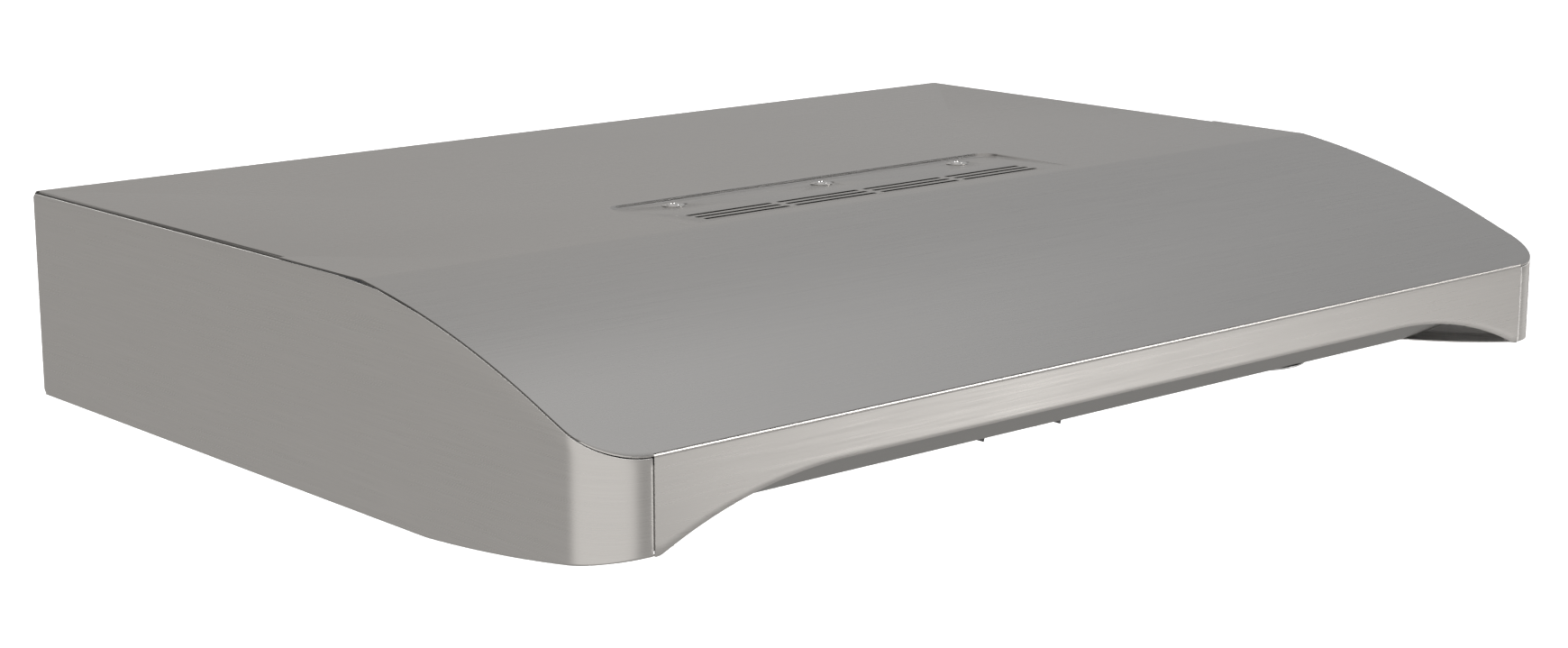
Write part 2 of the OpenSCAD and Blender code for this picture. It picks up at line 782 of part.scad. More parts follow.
module pivot_holes() rod_x(pivot_r + 0.1, -half_w, half_w, filter_pivot_y, filter_mid_z);

module filter_rail_center() color(zinc) placed() difference() {
    union() {
        block([-rail_half, rail_half], [panel_y1 + 2 * sheet, rear_in - play], [sheet + 3, rail_top]);
        block([-rail_half - 2, rail_half + 2], [panel_y1 + 2 * sheet, filter_y1],
            [sheet + 2.2, sheet + 3]);
    }
    pivot_holes();
    block([-rail_half - over, rail_half + over], [rail_rear_y - play, hood_d],
        [0, rail_top - 8]);
}

module filter_rail_side() placed() difference() {
    union() {
        block([rail_x, rail_x + sheet], [panel_y1 + 2 * sheet, rail_rear_y], [sheet, rail_top]);
        block([rail_x, half_w - 12], [panel_y1 + 2 * sheet, rail_rear_y], [sheet, 2 * sheet]);
    }
    pivot_holes();
}

module filter_rail_left() color(zinc) mirror([1, 0, 0]) filter_rail_side();
module filter_rail_right() color(zinc) filter_rail_side();

module filter_rail_rear() color(zinc) placed() {
    block([-panel_x, panel_x], [rail_rear_y, rail_rear_y + sheet], [sheet, rail_top - 8.2]);
    block([-panel_x, panel_x], [rail_rear_y, rear_in - 2], [sheet, 2 * sheet]);
}

// ---------------------------------------------------------------- blower

module scroll_wall() color(zinc) placed() along_z(scroll_z0, scroll_z1) difference() {
    scroll_plan(0);
    scroll_plan(sheet);
    translate([-duct_in_w / 2, scroll_end - over]) square([duct_in_w, 2 * over]);
}

// floor of the scroll with its rolled air inlet
module inlet_plate() color(zinc) placed() {
    difference() {
        along_z(scroll_z0 - sheet, scroll_z0) scroll_plan(0);
        translate([fan_x, fan_y, scroll_z0 - 2 * sheet]) cylinder(h = 3 * sheet, r = inlet_r + 1);
    }
    translate([fan_x, fan_y, 0]) rotate_extrude() difference() {
        translate([inlet_r, scroll_z0 - sheet]) square([2, sheet + 3]);
        translate([inlet_r + 1 + 3, scroll_z0 + 3]) circle(3);
    }
}

// guard of flat rings and bars across the inlet
module finger_guard() color(zinc) placed()
    translate([fan_x, fan_y, scroll_z0 - sheet - 2 * guard_wire]) union() {
        for (r = [18:19:inlet_r + 3]) difference() {
            cylinder(h = 2 * guard_wire, r = r + guard_wire / 2);
            translate([0, 0, -over]) cylinder(h = 2 * over + 2 * guard_wire, r = r - guard_wire / 2);
        }
        for (a = [30, 90, 150]) rotate([0, 0, a]) translate([-inlet_r - 5, -guard_wire, 0])
            cube([2 * inlet_r + 10, 2 * guard_wire, guard_wire]);
    }

// roof of the scroll, which carries the motor
module blower_deck() color(zinc) placed() difference() {
    along_z(scroll_z1, scroll_z1 + sheet) scroll_plan(0);
    translate([fan_x, fan_y, scroll_z1 - over]) cylinder(h = 3, r = 10);
    hanger_screws(screw_r + 0.1, scroll_z1 - over, 4);
}

module hanger_screws(r, z, h) for (x = hanger_screw_x, y = hanger_y)
    translate([x, y + hanger_foot / 2, z]) cylinder(h = h, r = r);

// two folded rails between the blower and the flat top
module blower_hangers() color(zinc) placed() {
    z0 = scroll_z1 + sheet;
    z1 = hood_h - sheet;
    difference() {
        for (y = hanger_y) {
            block([hanger_x0, hanger_x1], [y, y + hanger_foot], [z0, z0 + sheet]);
            block([hanger_x0, hanger_x1], [y + hanger_foot - sheet, y + hanger_foot], [z0, z1]);
            block([hanger_x0, hanger_x1], [y + hanger_foot - sheet, y + 2 * hanger_foot],
                [z1 - sheet, z1]);
        }
        hanger_screws(screw_r + 0.1, scroll_z1, 4);
    }
}

// motor can with a domed lower end and the bearing for the shaft
module motor() color(dark_steel) placed() translate([fan_x, fan_y, scroll_z1 - motor_h])
    rotate_extrude() polygon([
        [shaft_r + shaft_fit, 0], [14, 0], [14, 3], [motor_r - 6, 3], [motor_r, 9],
        [motor_r, motor_h], [shaft_r + shaft_fit, motor_h]]);

module motor_shaft() color(bare_aluminium) placed()
    translate([fan_x, fan_y, fan_disc_z - 14]) cylinder(h = scroll_z1 - fan_disc_z + 8, r = shaft_r);

// cage of flat blades on two rings, driven by a disc on the hub
module impeller() color(zinc) placed() translate([fan_x, fan_y, 0]) {
    difference() {
        union() {
            translate([0, 0, fan_disc_z]) cylinder(h = disc_t, r = fan_r - blade_w + 2);
            translate([0, 0, fan_disc_z - 12]) cylinder(h = 12 + disc_t, r = 12);
        }
        translate([0, 0, fan_disc_z - 14]) cylinder(h = 20, r = shaft_r);
    }
    for (z = [fan_z0, fan_z1 - 2]) translate([0, 0, z]) difference() {
        cylinder(h = 2, r = fan_r);
        translate([0, 0, -over]) cylinder(h = 2 + 2 * over, r = fan_r - blade_w);
    }
    for (i = [0:blades - 1]) rotate([0, 0, i * 360 / blades])
        translate([fan_r - blade_w / 2, 0, fan_z0 + 1]) rotate([0, 0, 30])
            translate([-blade_w / 2, -0.5, 0]) cube([blade_w, 1, fan_z1 - fan_z0 - 2]);
}

// ---------------------------------------------------------------- duct outlet

module connector_holes(r, y0, y1)
    for (sx = [-1, 1], sz = [-1, 1])
        rod_y(r, sx * (duct_w / 2 + 7.5), y0, y1, duct_z + sz * (duct_h / 2 + 6.5));

// collar that the duct slips over, with its flange on the rear panel
module duct_connector() color(zinc) placed() difference() {
    union() {
        block([-duct_w / 2 - collar_flange, duct_w / 2 + collar_flange], [hood_d, hood_d + sheet],
            [duct_z - duct_h / 2 - collar_flange + 1, duct_z + duct_h / 2 + collar_flange - 1]);
        block([-duct_w / 2, duct_w / 2], [hood_d, hood_d + collar_len],
            [duct_z - duct_h / 2, duct_z + duct_h / 2]);
    }
    block([-duct_in_w / 2, duct_in_w / 2], [hood_d - over, hood_d + collar_len + over],
        [scroll_z0, scroll_z1]);
    rod_x(damper_rod_r + 0.1, -duct_w, duct_w, damper_y, damper_z);
    connector_holes(screw_r + 0.1, hood_d - over, hood_d + 2 * sheet);
}

// back-draught flap hanging from its rod
module damper_flap() color(bare_aluminium) placed() {
    rod_x(damper_rod_r, -duct_w / 2 - 1, duct_w / 2 + 1, damper_y, damper_z);
    block([-duct_in_w / 2 + 1.2, duct_in_w / 2 - 1.2], [damper_y - sheet / 2, damper_y + sheet / 2],
        [scroll_z0 + 1.5, damper_z]);
}

module outlet_gasket() color(black_plastic) placed() difference() {
    block([-duct_w / 2 - 4, duct_w / 2 + 4], [scroll_end, rear_in],
        [duct_z - duct_h / 2 - 4, duct_z + duct_h / 2 + 4]);
    block([-duct_in_w / 2, duct_in_w / 2], [scroll_end - over, rear_in + over],
        [scroll_z0, scroll_z1]);
}

// ---------------------------------------------------------------- vent blanking plate

module vent_plate() color(dark_steel) placed() difference() {
    union() {
        block([-vent_w / 2 + 6, vent_w / 2 - 6], [vent_y0 + 6, vent_y0 + vent_l - 2],
            [vent_plate_z, vent_plate_z + sheet]);
        for (x = vent_screw_x) translate([x, vent_screw_y, vent_plate_z])
            cylinder(h = sheet + 1.2, r = 6);
    }
    for (x = vent_screw_x) translate([x, vent_screw_y, vent_plate_z - over])
        cylinder(h = 6, r = vent_screw_r);
}

// washer-head screws standing on the sloping floor of the recess
module vent_screws() color(zinc) placed()
    for (x = vent_screw_x) translate([x, vent_screw_y, vent_screw_z]) {
        rotate([-vent_floor_angle, 0, 0]) {
            cylinder(h = 0.7, r = 7);
            difference() {
                translate([0, 0, 0.7]) cylinder(h = 0.7, r = 4.4);
                for (a = [0, 90]) rotate([0, 0, a]) translate([0, 0, 1.3])
                    cube([5, 0.9, 1], center = true);
            }
        }
        translate([0, 0, -7]) cylinder(h = 7.3, r = vent_screw_r);
    }

// ---------------------------------------------------------------- wiring

module wiring_box() color(zinc) placed() difference() {
    block([box_x0, box_x1], [box_y0, rear_in], [box_z0, box_z1]);
    block([box_x0 + sheet, box_x1 - sheet], [box_y0 + sheet, rear_in - sheet],
        [box_z0 - over, box_z1 - sheet]);
    rod_y(knockout_r, cable_x, rear_in - 2 * sheet, hood_d, cable_z);
    rod_x(wire_r + play, box_x1 - 2 * sheet, box_x1 + over, box_y0 + 8, box_z1 - 5);
}

module wiring_lid() color(zinc) placed()
    block([box_x0, box_x1], [box_y0, rear_in - 2], [box_z0 - sheet, box_z0]);

module terminal_block() color(white_plastic) placed() difference() {
    block([box_x0 + 8, box_x0 + 22], [box_y0 + 16, box_y0 + 70], [box_z0, box_z0 + 16]);
    for (i = [0:3]) translate([box_x0 + 15, box_y0 + 24 + i * 13, box_z0 + 8]) cylinder(h = 20, r = 3);
}

module capacitor() color(white_plastic) placed()
    rod_x(12, box_x0 + 10, box_x1 - 12, box_y0 + 18, box_z1 - 14);

// rings of a cable's outline, one at each of its points and square to the run there
function cable_ring(points, i, r) =
    let (t = points[min(i + 1, len(points) - 1)] - points[max(i - 1, 0)],
         u = cross(t, cable_up) / norm(cross(t, cable_up)),
         v = cross(t, u) / norm(t))
    [for (k = [0:cable_sides - 1]) let (a = k * 360 / cable_sides) points[i] + r * (cos(a) * u + sin(a) * v)];

module cable(points, r) {
    n = cable_sides;
    last = len(points) - 1;
    sides = [for (i = [0:last - 1], k = [0:n - 1]) let (a = i * n + k, b = i * n + (k + 1) % n)
        each [[a, a + n, b + n], [a, b + n, b]]];
    ends = [[for (k = [0:n - 1]) k], [for (k = [n - 1:-1:0]) last * n + k]];
    polyhedron([for (i = [0:last]) each cable_ring(points, i, r)], concat(sides, ends));
}

// clipped cable from the wiring box to the switches
module loom_front() color(black_plastic) placed() cable([
    [box_x1 - 10, box_y0, box_z1 - 14], [box_x1 - 10, crease_y - 10, box_z1 - 14],
    [switch_mid - switch_pitch / 2 - 60, panel_y1 - 22, 56],
    [switch_mid - switch_pitch / 2, switch_y + 12, 38],
    [switch_mid - switch_pitch / 2, switch_y, panel_z + 28]], wire_r);

// clipped cable between the two lamps
module loom_lamps() color(black_plastic) placed()
    rod_x(2, -lamp_x + lamp_neck, lamp_x - lamp_neck, lamp_y + 12, panel_z + 16);

// clipped cable from the wiring box to the motor
module loom_motor() color(black_plastic) placed() cable([
    [box_x1 - 6, box_y0 + 8, box_z1 - 5], [box_x1 + 6, box_y0 + 8, box_z1 - 5],
    [box_x1 + 30, box_y0 - 12, scroll_z1 + 6],
    [fan_x, fan_y, scroll_z1 + 6], [fan_x, fan_y, scroll_z1]], wire_r);

// ---------------------------------------------------------------- fasteners

module pan_screw(x, y, z, dir, shank) translate([x, y, z]) rotate(dir) {
    translate([0, 0, -shank]) cylinder(h = shank, r = screw_r);
    cylinder(h = 1.8, r = 3.5);
}

module rear_screws() color(zinc) placed()
    for (sx = [-1, 1], z = rear_screw_z) pan_screw(sx * rear_screw_x, hood_d, z, [-90, 0, 0], 4);

module blower_screws() color(zinc) placed()
    for (x = hanger_screw_x, y = hanger_y)
        pan_screw(x, y + hanger_foot / 2, scroll_z1 + 2 * sheet, [0, 0, 0], 3);

module panel_screws() color(zinc) placed()
    for (s = [-1, 1], y = [bracket_y + 10, bracket_y + bracket_l - 10])
        pan_screw(s * (panel_x - sheet), y, bracket_z - 8, [0, -s * 90, 0], 5);

module connector_screws() color(zinc) placed()
    for (sx = [-1, 1], sz = [-1, 1])
        pan_screw(sx * (duct_w / 2 + 7.5), hood_d + sheet, duct_z + sz * (duct_h / 2 + 6.5),
            [-90, 0, 0], 4);

// ---------------------------------------------------------------- nodes

canopy_cover();
side_panel_left();
side_panel_right();
rear_panel();
corner_backer_left();
corner_backer_right();
light_panel();
light_bracket_left();
light_bracket_right();
lamp_bezel_left();
lamp_bezel_right();
lamp_lens_left();
lamp_lens_right();
lamp_module_left();
lamp_module_right();
switch_body_light();
switch_body_fan();
rocker_light();
rocker_fan();
filter_frame_left();
filter_frame_right();
filter_mesh_left();
filter_mesh_right();
latch_left();
latch_right();
filter_rail_center();
filter_rail_left();
filter_rail_right();
filter_rail_rear();
scroll_wall();
inlet_plate();
finger_guard();
blower_deck();
blower_hangers();
motor();
motor_shaft();
impeller();
duct_connector();
damper_flap();
outlet_gasket();
vent_plate();
vent_screws();
wiring_box();
wiring_lid();
terminal_block();
capacitor();
loom_front();
loom_lamps();
loom_motor();
rear_screws();
blower_screws();
panel_screws();
connector_screws();
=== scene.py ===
# %% [markdown]
# # An under cabinet range hood
# A slim hood of folded brushed steel that hangs under a kitchen cupboard. Its working
# parts (blower, filters, switches, damper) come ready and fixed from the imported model.
# This lesson gives that model its looks: smooth curved sheets in place of the coarse
# ones, expanded-metal filters, turned screws and lenses, and a finish for every part.

# %% The fixed frame
import json
import math
import bpy
import bmesh
import numpy as np
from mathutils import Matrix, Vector
from mathutils.geometry import delaunay_2d_cdt


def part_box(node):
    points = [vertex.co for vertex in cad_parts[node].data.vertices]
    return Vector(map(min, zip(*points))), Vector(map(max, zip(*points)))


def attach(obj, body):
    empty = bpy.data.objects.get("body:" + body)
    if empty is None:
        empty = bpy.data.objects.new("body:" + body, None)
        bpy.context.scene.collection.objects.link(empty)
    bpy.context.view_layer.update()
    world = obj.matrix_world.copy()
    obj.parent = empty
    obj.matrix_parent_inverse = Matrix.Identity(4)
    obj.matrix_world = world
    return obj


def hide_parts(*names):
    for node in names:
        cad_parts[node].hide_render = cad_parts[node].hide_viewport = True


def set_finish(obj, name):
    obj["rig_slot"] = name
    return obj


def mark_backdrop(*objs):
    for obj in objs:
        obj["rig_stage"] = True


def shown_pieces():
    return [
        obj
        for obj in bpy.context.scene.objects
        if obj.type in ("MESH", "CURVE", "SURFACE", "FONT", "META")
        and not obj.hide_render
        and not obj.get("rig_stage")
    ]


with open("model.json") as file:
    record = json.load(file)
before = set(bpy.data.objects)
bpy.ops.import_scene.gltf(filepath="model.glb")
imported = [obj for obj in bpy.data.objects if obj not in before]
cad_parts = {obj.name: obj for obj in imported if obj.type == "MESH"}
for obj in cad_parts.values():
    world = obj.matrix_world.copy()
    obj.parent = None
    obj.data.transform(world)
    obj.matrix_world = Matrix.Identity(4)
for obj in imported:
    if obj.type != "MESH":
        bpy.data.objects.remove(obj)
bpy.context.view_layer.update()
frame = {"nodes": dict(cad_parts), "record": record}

# %% [markdown]
# ## Sizes
# The real hood is a few bent sheets, so a handful of radii and heights describe it.
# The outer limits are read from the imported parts, which never move. The radii of the
# bends are written here once, in metres, and every sheet is worked out from them.

# %% Sizes
mm = 0.001
cover_low, cover_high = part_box("canopy_cover")
half_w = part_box("side_panel_right")[1].x
front_y = cover_low.y
depth = cover_high.y - cover_low.y
top_z = cover_high.z
sheet = 0.8 * mm
burr_w = 0.18 * mm
bend_r = 2.5 * mm
corner_r = 30 * mm
seam_gap = 1 * mm
fascia_x = half_w - corner_r - seam_gap / 2
corner_x = half_w - corner_r + seam_gap / 2
corner_cx = half_w - corner_r
print("width, depth, height:", round(2 * half_w, 4), round(depth, 4), round(top_z, 4))

# %% Curve of the top, seen from the side
crease_y = 199 * mm
crease_angle = math.radians(7.27)
slope_r = 615 * mm
front_flat = 52 * mm
slope_cy = crease_y + slope_r * math.sin(crease_angle)
slope_cz = top_z - slope_r * math.cos(crease_angle)
foot_angle = math.asin((slope_cy - front_flat) / slope_r)
edge_z = slope_cz + slope_r * math.cos(foot_angle) - front_flat * math.tan(foot_angle)
bend_z = edge_z - bend_r * (1 - math.sin(foot_angle)) / math.cos(foot_angle)


def top_height(y, under=0.0):
    """Height of the sheet at distance y behind the front face, a distance under its outer
    face: a straight run, then a circle of radius slope_r - under, then the flat top."""
    r = slope_r - under
    foot_y = slope_cy - r * math.sin(foot_angle)
    foot_z = slope_cz + r * math.cos(foot_angle)
    straight = foot_z - (foot_y - y) * math.tan(foot_angle)
    arc = slope_cz + np.sqrt(np.maximum(r * r - (slope_cy - y) ** 2, 0))
    flat = np.full_like(y, top_z - under)
    return np.where(y < foot_y, straight, np.where(y < crease_y, np.minimum(arc, flat), flat))


print("height of the front edge:", round(edge_z, 4))

# %% Lower edge of the front face
rise_h = 17.7 * mm
arch_z = 44.7 * mm
arch_r = 287 * mm
arch_fillet = 12 * mm
arch_x = half_w - 155 * mm
arch_cz = arch_z - arch_r
fillet_z = rise_h + arch_fillet
foot_x = arch_x + math.sqrt((arch_r + arch_fillet) ** 2 - (fillet_z - arch_cz) ** 2)
meet_x = arch_x + (foot_x - arch_x) * arch_r / (arch_r + arch_fillet)


def arch_height(x):
    """Height of the front face's lower edge: level in the middle, a falling circle of
    radius arch_r, a small fillet that turns back, and a level foot at each end."""
    a = np.abs(x)
    falling = arch_cz + np.sqrt(np.maximum(arch_r ** 2 - (a - arch_x) ** 2, 0))
    fillet = fillet_z - np.sqrt(np.maximum(arch_fillet ** 2 - (a - foot_x) ** 2, 0))
    ends = np.where(a < meet_x, falling, np.where(a < foot_x, fillet, rise_h))
    return np.where(a < arch_x, arch_z, ends)


print("the arch meets its foot at", round(meet_x, 4), round(foot_x, 4))

# %% [markdown]
# ## Surfaces as patches
# Each sheet is a few patches: arrays of points with four-sided faces between
# neighbouring rows and columns. A flat patch with holes in it has no rows and columns,
# so its outline and holes are filled by a triangulation. The patches of a sheet share
# their border points, and are welded there into one skin, which then gets its thickness.

# %% Patches
def grid(points, keep=None, flip=False, closed=False):
    """Faces between neighbouring rows and columns of a (rows, columns, 3) array. keep says
    which cells stay; closed joins the last column to the first."""
    rows, cols = points.shape[:2]
    index = np.arange(rows * cols).reshape(rows, cols)
    if closed:
        index = np.concatenate([index, index[:, :1]], axis=1)
    a, b, c, d = index[:-1, :-1], index[:-1, 1:], index[1:, 1:], index[1:, :-1]
    quads = np.stack([a, b, c, d], axis=-1)
    quads = quads.reshape(-1, 4) if keep is None else quads[keep]
    return {"points": points.reshape(-1, 3), "faces": (quads[:, ::-1] if flip else quads).tolist()}


def filled(outline, holes, height):
    """Triangles between a plane outline and round holes; height(x, y) lifts them. A triangle
    with all its corners on one round hole lies inside that hole, and is left out."""
    loops = [np.asarray(loop) for loop in [outline, *holes]]
    owner = np.concatenate([np.full(len(loop), i) for i, loop in enumerate(loops)])
    starts = np.cumsum([0] + [len(loop) for loop in loops])
    edges = [(int(s + i), int(s + (i + 1) % len(loop)))
             for s, loop in zip(starts, loops) for i in range(len(loop))]
    flat = np.concatenate(loops)
    made = delaunay_2d_cdt([Vector(p) for p in flat], edges, [], 1, 1e-8)
    source = [from_points[0] for from_points in made[3]]
    faces = np.array([[source[i] for i in face] for face in made[2]])
    own = owner[faces]
    faces = faces[~((own[:, 0] > 0) & (own == own[:, :1]).all(axis=1))]
    p = flat[faces]
    turn = np.cross(p[:, 1] - p[:, 0], p[:, 2] - p[:, 0])
    faces = np.where(turn[:, None] > 0, faces, faces[:, ::-1])
    z = height(flat[:, 0], flat[:, 1])
    return {"points": np.column_stack([flat, z]), "faces": faces.tolist()}


def mirrored(patch):
    """The patch on the other side of the middle plane, with its faces turned round."""
    other = {"points": patch["points"] * [-1, 1, 1], "faces": [f[::-1] for f in patch["faces"]]}
    return {**patch, **other}


# %% [markdown]
# ## From patches to a piece
# A sheet of metal shows as metal through its edges: a wall of even thickness with a
# tiny rounded burr that catches a line of light. Solidify gives the wall and Bevel the
# burr. Both are applied, so that shading can be split exactly where the faces turn.

# %% From patches to a piece
def join(patches):
    """One array of points and one list of faces from several patches."""
    starts = np.cumsum([0] + [len(p["points"]) for p in patches])
    points = np.concatenate([p["points"] for p in patches])
    faces = [[int(s) + i for i in face] for s, p in zip(starts, patches) for face in p["faces"]]
    return points, faces


def piece(name, patches, slot, nodes=(), body="hood", thickness=0.0, burr=0.0, sharp=30):
    """Welds patches into one object in the row frame, gives it its wall and burr, and says
    what it rides on and which slot its finish comes from; the nodes it stands for are hidden."""
    points, faces = join(patches)
    points = points + [0, front_y, 0]
    mesh = bpy.data.meshes.new(name)
    mesh.from_pydata(points.tolist(), [], faces)
    if "uv" in patches[0]:
        uv = np.concatenate([p["uv"] for p in patches])
        corner = np.zeros(len(mesh.loops), int)
        mesh.loops.foreach_get("vertex_index", corner)
        mesh.uv_layers.new(name="along").data.foreach_set("uv", uv[corner].ravel())
    shape = bmesh.new()
    shape.from_mesh(mesh)
    bmesh.ops.remove_doubles(shape, verts=shape.verts, dist=2e-6)
    loose = [v for v in shape.verts if not v.link_faces]
    bmesh.ops.delete(shape, geom=loose, context="VERTS")
    shape.to_mesh(mesh)
    shape.free()
    made = bpy.data.objects.new(name, mesh)
    bpy.context.scene.collection.objects.link(made)
    if thickness:
        wall = made.modifiers.new("wall", "SOLIDIFY")
        wall.thickness, wall.offset, wall.use_even_offset = thickness, -1, True
    if burr:
        edge = made.modifiers.new("burr", "BEVEL")
        edge.width, edge.segments, edge.limit_method = burr, 2, "ANGLE"
        edge.angle_limit, edge.use_clamp_overlap = math.radians(50), True
    graph = bpy.context.evaluated_depsgraph_get()
    final = bpy.data.meshes.new_from_object(made.evaluated_get(graph))
    made.modifiers.clear()
    made.data = final
    final.shade_smooth()
    final.set_sharp_from_angle(angle=math.radians(sharp))
    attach(made, body)
    if nodes:
        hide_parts(*nodes)
    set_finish(made, slot)
    print(name, len(final.polygons), "faces")
    return made


# %% [markdown]
# ## The cover
# On the real hood one sheet makes the front face, the tight bend above it, the long
# curved slope and the flat top. A profile carried across the width would do for most of
# it, but the lower edge is arched and the ends follow the round corners, so each
# column of the grid gets its own start: the arch below, the plan of the corner outside.

# %% Columns across the cover
def half_columns():
    """Half the columns: level arch, falling arch, fillet, foot, and beyond the seam the
    points of the corner's quarter circle, closer together where it turns away."""
    turn = np.linspace(0, math.pi / 2, 20)[1:]
    return np.concatenate([
        np.linspace(0, arch_x, 14)[:-1], np.linspace(arch_x, meet_x, 36)[:-1],
        np.linspace(meet_x, foot_x, 9)[:-1], np.linspace(foot_x, fascia_x, 6),
        [fascia_x + 0.3 * mm], corner_cx + corner_r * np.sin(turn)])


right = half_columns()
columns = np.concatenate([-right[:0:-1], right])
inner = columns[np.abs(columns) <= fascia_x + 1e-9]
print(len(columns), "columns,", len(inner), "of them on the front face")

# %% Front face and bend
tangent_y = bend_r * (1 - math.sin(foot_angle))


def front_patch():
    """Rows up the front face from the arch to the bend, then a quarter turn less the
    slope's angle round the bend: y = r + r cos a, z = centre + r sin a."""
    share = np.linspace(0, 1, 9)[:, None]
    low = arch_height(inner)[None, :]
    z_face = low + (bend_z - low) * share
    a = np.linspace(math.pi, math.pi / 2 + foot_angle, 14)[1:, None]
    across = np.ones_like(inner)[None, :]
    y = np.concatenate([0 * z_face, (bend_r + bend_r * np.cos(a)) * across])
    z = np.concatenate([z_face, (bend_z + bend_r * np.sin(a)) * across])
    x = np.broadcast_to(inner, y.shape)
    return grid(np.stack([x, y, z], axis=-1))


# %% Slope
past_crease = 3 * mm


def slope_patch():
    """Rows from the front edge to just past the crease. A column's first point lies on the
    bend's tangent line, or outside the seams on the corner's plan, y = r - sqrt(r2 - x2)."""
    a = np.maximum(np.abs(columns) - corner_cx, 0)
    plan = corner_r - np.sqrt(np.maximum(corner_r ** 2 - a ** 2, 0))
    start = np.where(np.abs(columns) <= fascia_x + 1e-9, tangent_y, plan)[None, :]
    share = np.linspace(0, 1, 46)[:, None]
    y = start + (crease_y - start) * share
    extra = crease_y + past_crease * np.array([[0.15], [1.0]]) + 0 * start
    y = np.concatenate([y, extra])
    x = np.broadcast_to(columns, y.shape)
    return grid(np.stack([x, y, top_height(y)], axis=-1))


# %% Recess of the vent
vent_w = 314 * mm
vent_y0 = 205 * mm
vent_l = 79 * mm
vent_drop = 2 * mm
vent_fall = vent_drop / vent_l
front_round = 3 * mm
rear_round = 12 * mm
wall_half = 1.5 * mm
flat_reach = 2.0 * mm


def round_loop(reach):
    """The recess's outline moved out by reach: a rectangle with round rear corners and
    tight front ones, walked anticlockwise."""
    x, y0, y1 = vent_w / 2 + reach, vent_y0 - reach, vent_y0 + vent_l + reach
    corners = [(1, y0, front_round + reach, -90), (1, y1, rear_round + reach, 0),
               (-1, y1, rear_round + reach, 90), (-1, y0, front_round + reach, 180)]
    loop = []
    for side, y, r, start in corners:
        a = np.radians(np.linspace(start, start + 90, 15))
        cy = y + r if y < vent_y0 + vent_l / 2 else y - r
        loop.append(np.column_stack([side * (x - r) + r * np.cos(a), cy + r * np.sin(a)]))
    return np.concatenate(loop)


def floor_height(x, y):
    """The recess's floor: it leaves the flat top at the front and falls evenly backwards."""
    return top_z - np.maximum(y - vent_y0, 0) * vent_fall


def recess_patch():
    """Rings from the flat top down the pressed wall to the floor, with a flat ring on both
    sides; the height between the two follows half a cosine."""
    t = np.linspace(0, 1, 9)
    reaches = np.concatenate([[flat_reach], wall_half * (1 - 2 * t), [-flat_reach]])
    shares = np.concatenate([[0], (1 - np.cos(np.pi * t)) / 2, [1]])
    loops = np.stack([round_loop(r) for r in reaches])
    drop = top_z - floor_height(loops[..., 0], loops[..., 1])
    z = top_z - shares[:, None] * drop
    return grid(np.concatenate([loops, z[..., None]], axis=-1), closed=True), loops[0], loops[-1]


# %% Slots of the vent
slot_l = 64 * mm
slot_w = 3.8 * mm
slot_pitch = 69.3 * mm
slot_round = 0.8 * mm
row_pitch = 8 * mm
first_row = vent_y0 + 12.5 * mm
screw_pitch = 117 * mm
screw_y = vent_y0 + 64 * mm
screw_hole_r = 2.5 * mm
pilot_r = 1.5 * mm
pilot_step = 8.9 * mm


def slot(x, y, length, width):
    """A slot's outline: a long rectangle with four small quarter circles for corners."""
    r = slot_round
    starts = np.array([0, 90, 180, 270])
    a = np.radians(starts[:, None] + np.linspace(0, 90, 5)).ravel()
    to_x = np.repeat([1, -1, -1, 1], 5) * (length / 2 - r)
    to_y = np.repeat([1, 1, -1, -1], 5) * (width / 2 - r)
    return np.column_stack([x + to_x + r * np.cos(a), y + to_y + r * np.sin(a)])


def circle(x, y, r, points=24):
    """A round hole's outline."""
    a = np.arange(points) * 2 * np.pi / points
    return np.column_stack([x + r * np.cos(a), y + r * np.sin(a)])


slots = [slot((i - 1.5) * slot_pitch, first_row + j * row_pitch, slot_l, slot_w)
         for i in range(4) for j in range(3)]
screw_x = [-screw_pitch, 0, screw_pitch]
screw_holes = [circle(x, screw_y, screw_hole_r) for x in screw_x]
pilot_holes = [circle(x + pilot_step, screw_y, pilot_r) for x in screw_x]
print(len(slots), "slots and", len(screw_holes) + len(pilot_holes), "round holes")

# %% Flat top and folded lips
step_y = 277 * mm
step_x = half_w - 2 * mm
lip_h = 12 * mm
lip_r = 1.4 * mm
lip_end = depth - 2.6 * mm
relief = 0.6 * mm


def top_outline():
    """The flat top: the slope's last row, the step behind it, and the lips' tangent lines,
    with a small relief cut at both ends of each fold."""
    x = step_x - lip_r
    behind = [[half_w, step_y], [x, step_y], [x, step_y + relief], [x, lip_end],
              [x, lip_end + relief], [step_x, lip_end + relief], [step_x, depth]]
    front = np.column_stack([columns, np.full_like(columns, crease_y + past_crease)])
    behind = np.array(behind)
    return np.concatenate([front, behind, behind[::-1] * [-1, 1]])


def lip_patch():
    """The right lip: a quarter circle and a short wall, carried backwards from the step."""
    a = np.linspace(0, math.pi / 2, 8)
    x = np.append(step_x - lip_r + lip_r * np.sin(a), step_x)
    z = np.append(top_z - lip_r + lip_r * np.cos(a), top_z - lip_h)
    rows = [np.column_stack([x, np.full_like(x, y), z]) for y in (step_y + relief, lip_end)]
    return grid(np.stack(rows))


# %% The cover as one skin
recess, recess_top, recess_floor = recess_patch()
lip = lip_patch()
cover = piece("cover_skin", [
    front_patch(), slope_patch(), recess, lip, mirrored(lip),
    filled(top_outline(), [recess_top], lambda x, y: np.full_like(x, top_z)),
    filled(recess_floor, slots + screw_holes + pilot_holes, floor_height)],
    "brushed_cover", nodes=["canopy_cover"], thickness=sheet, burr=burr_w)

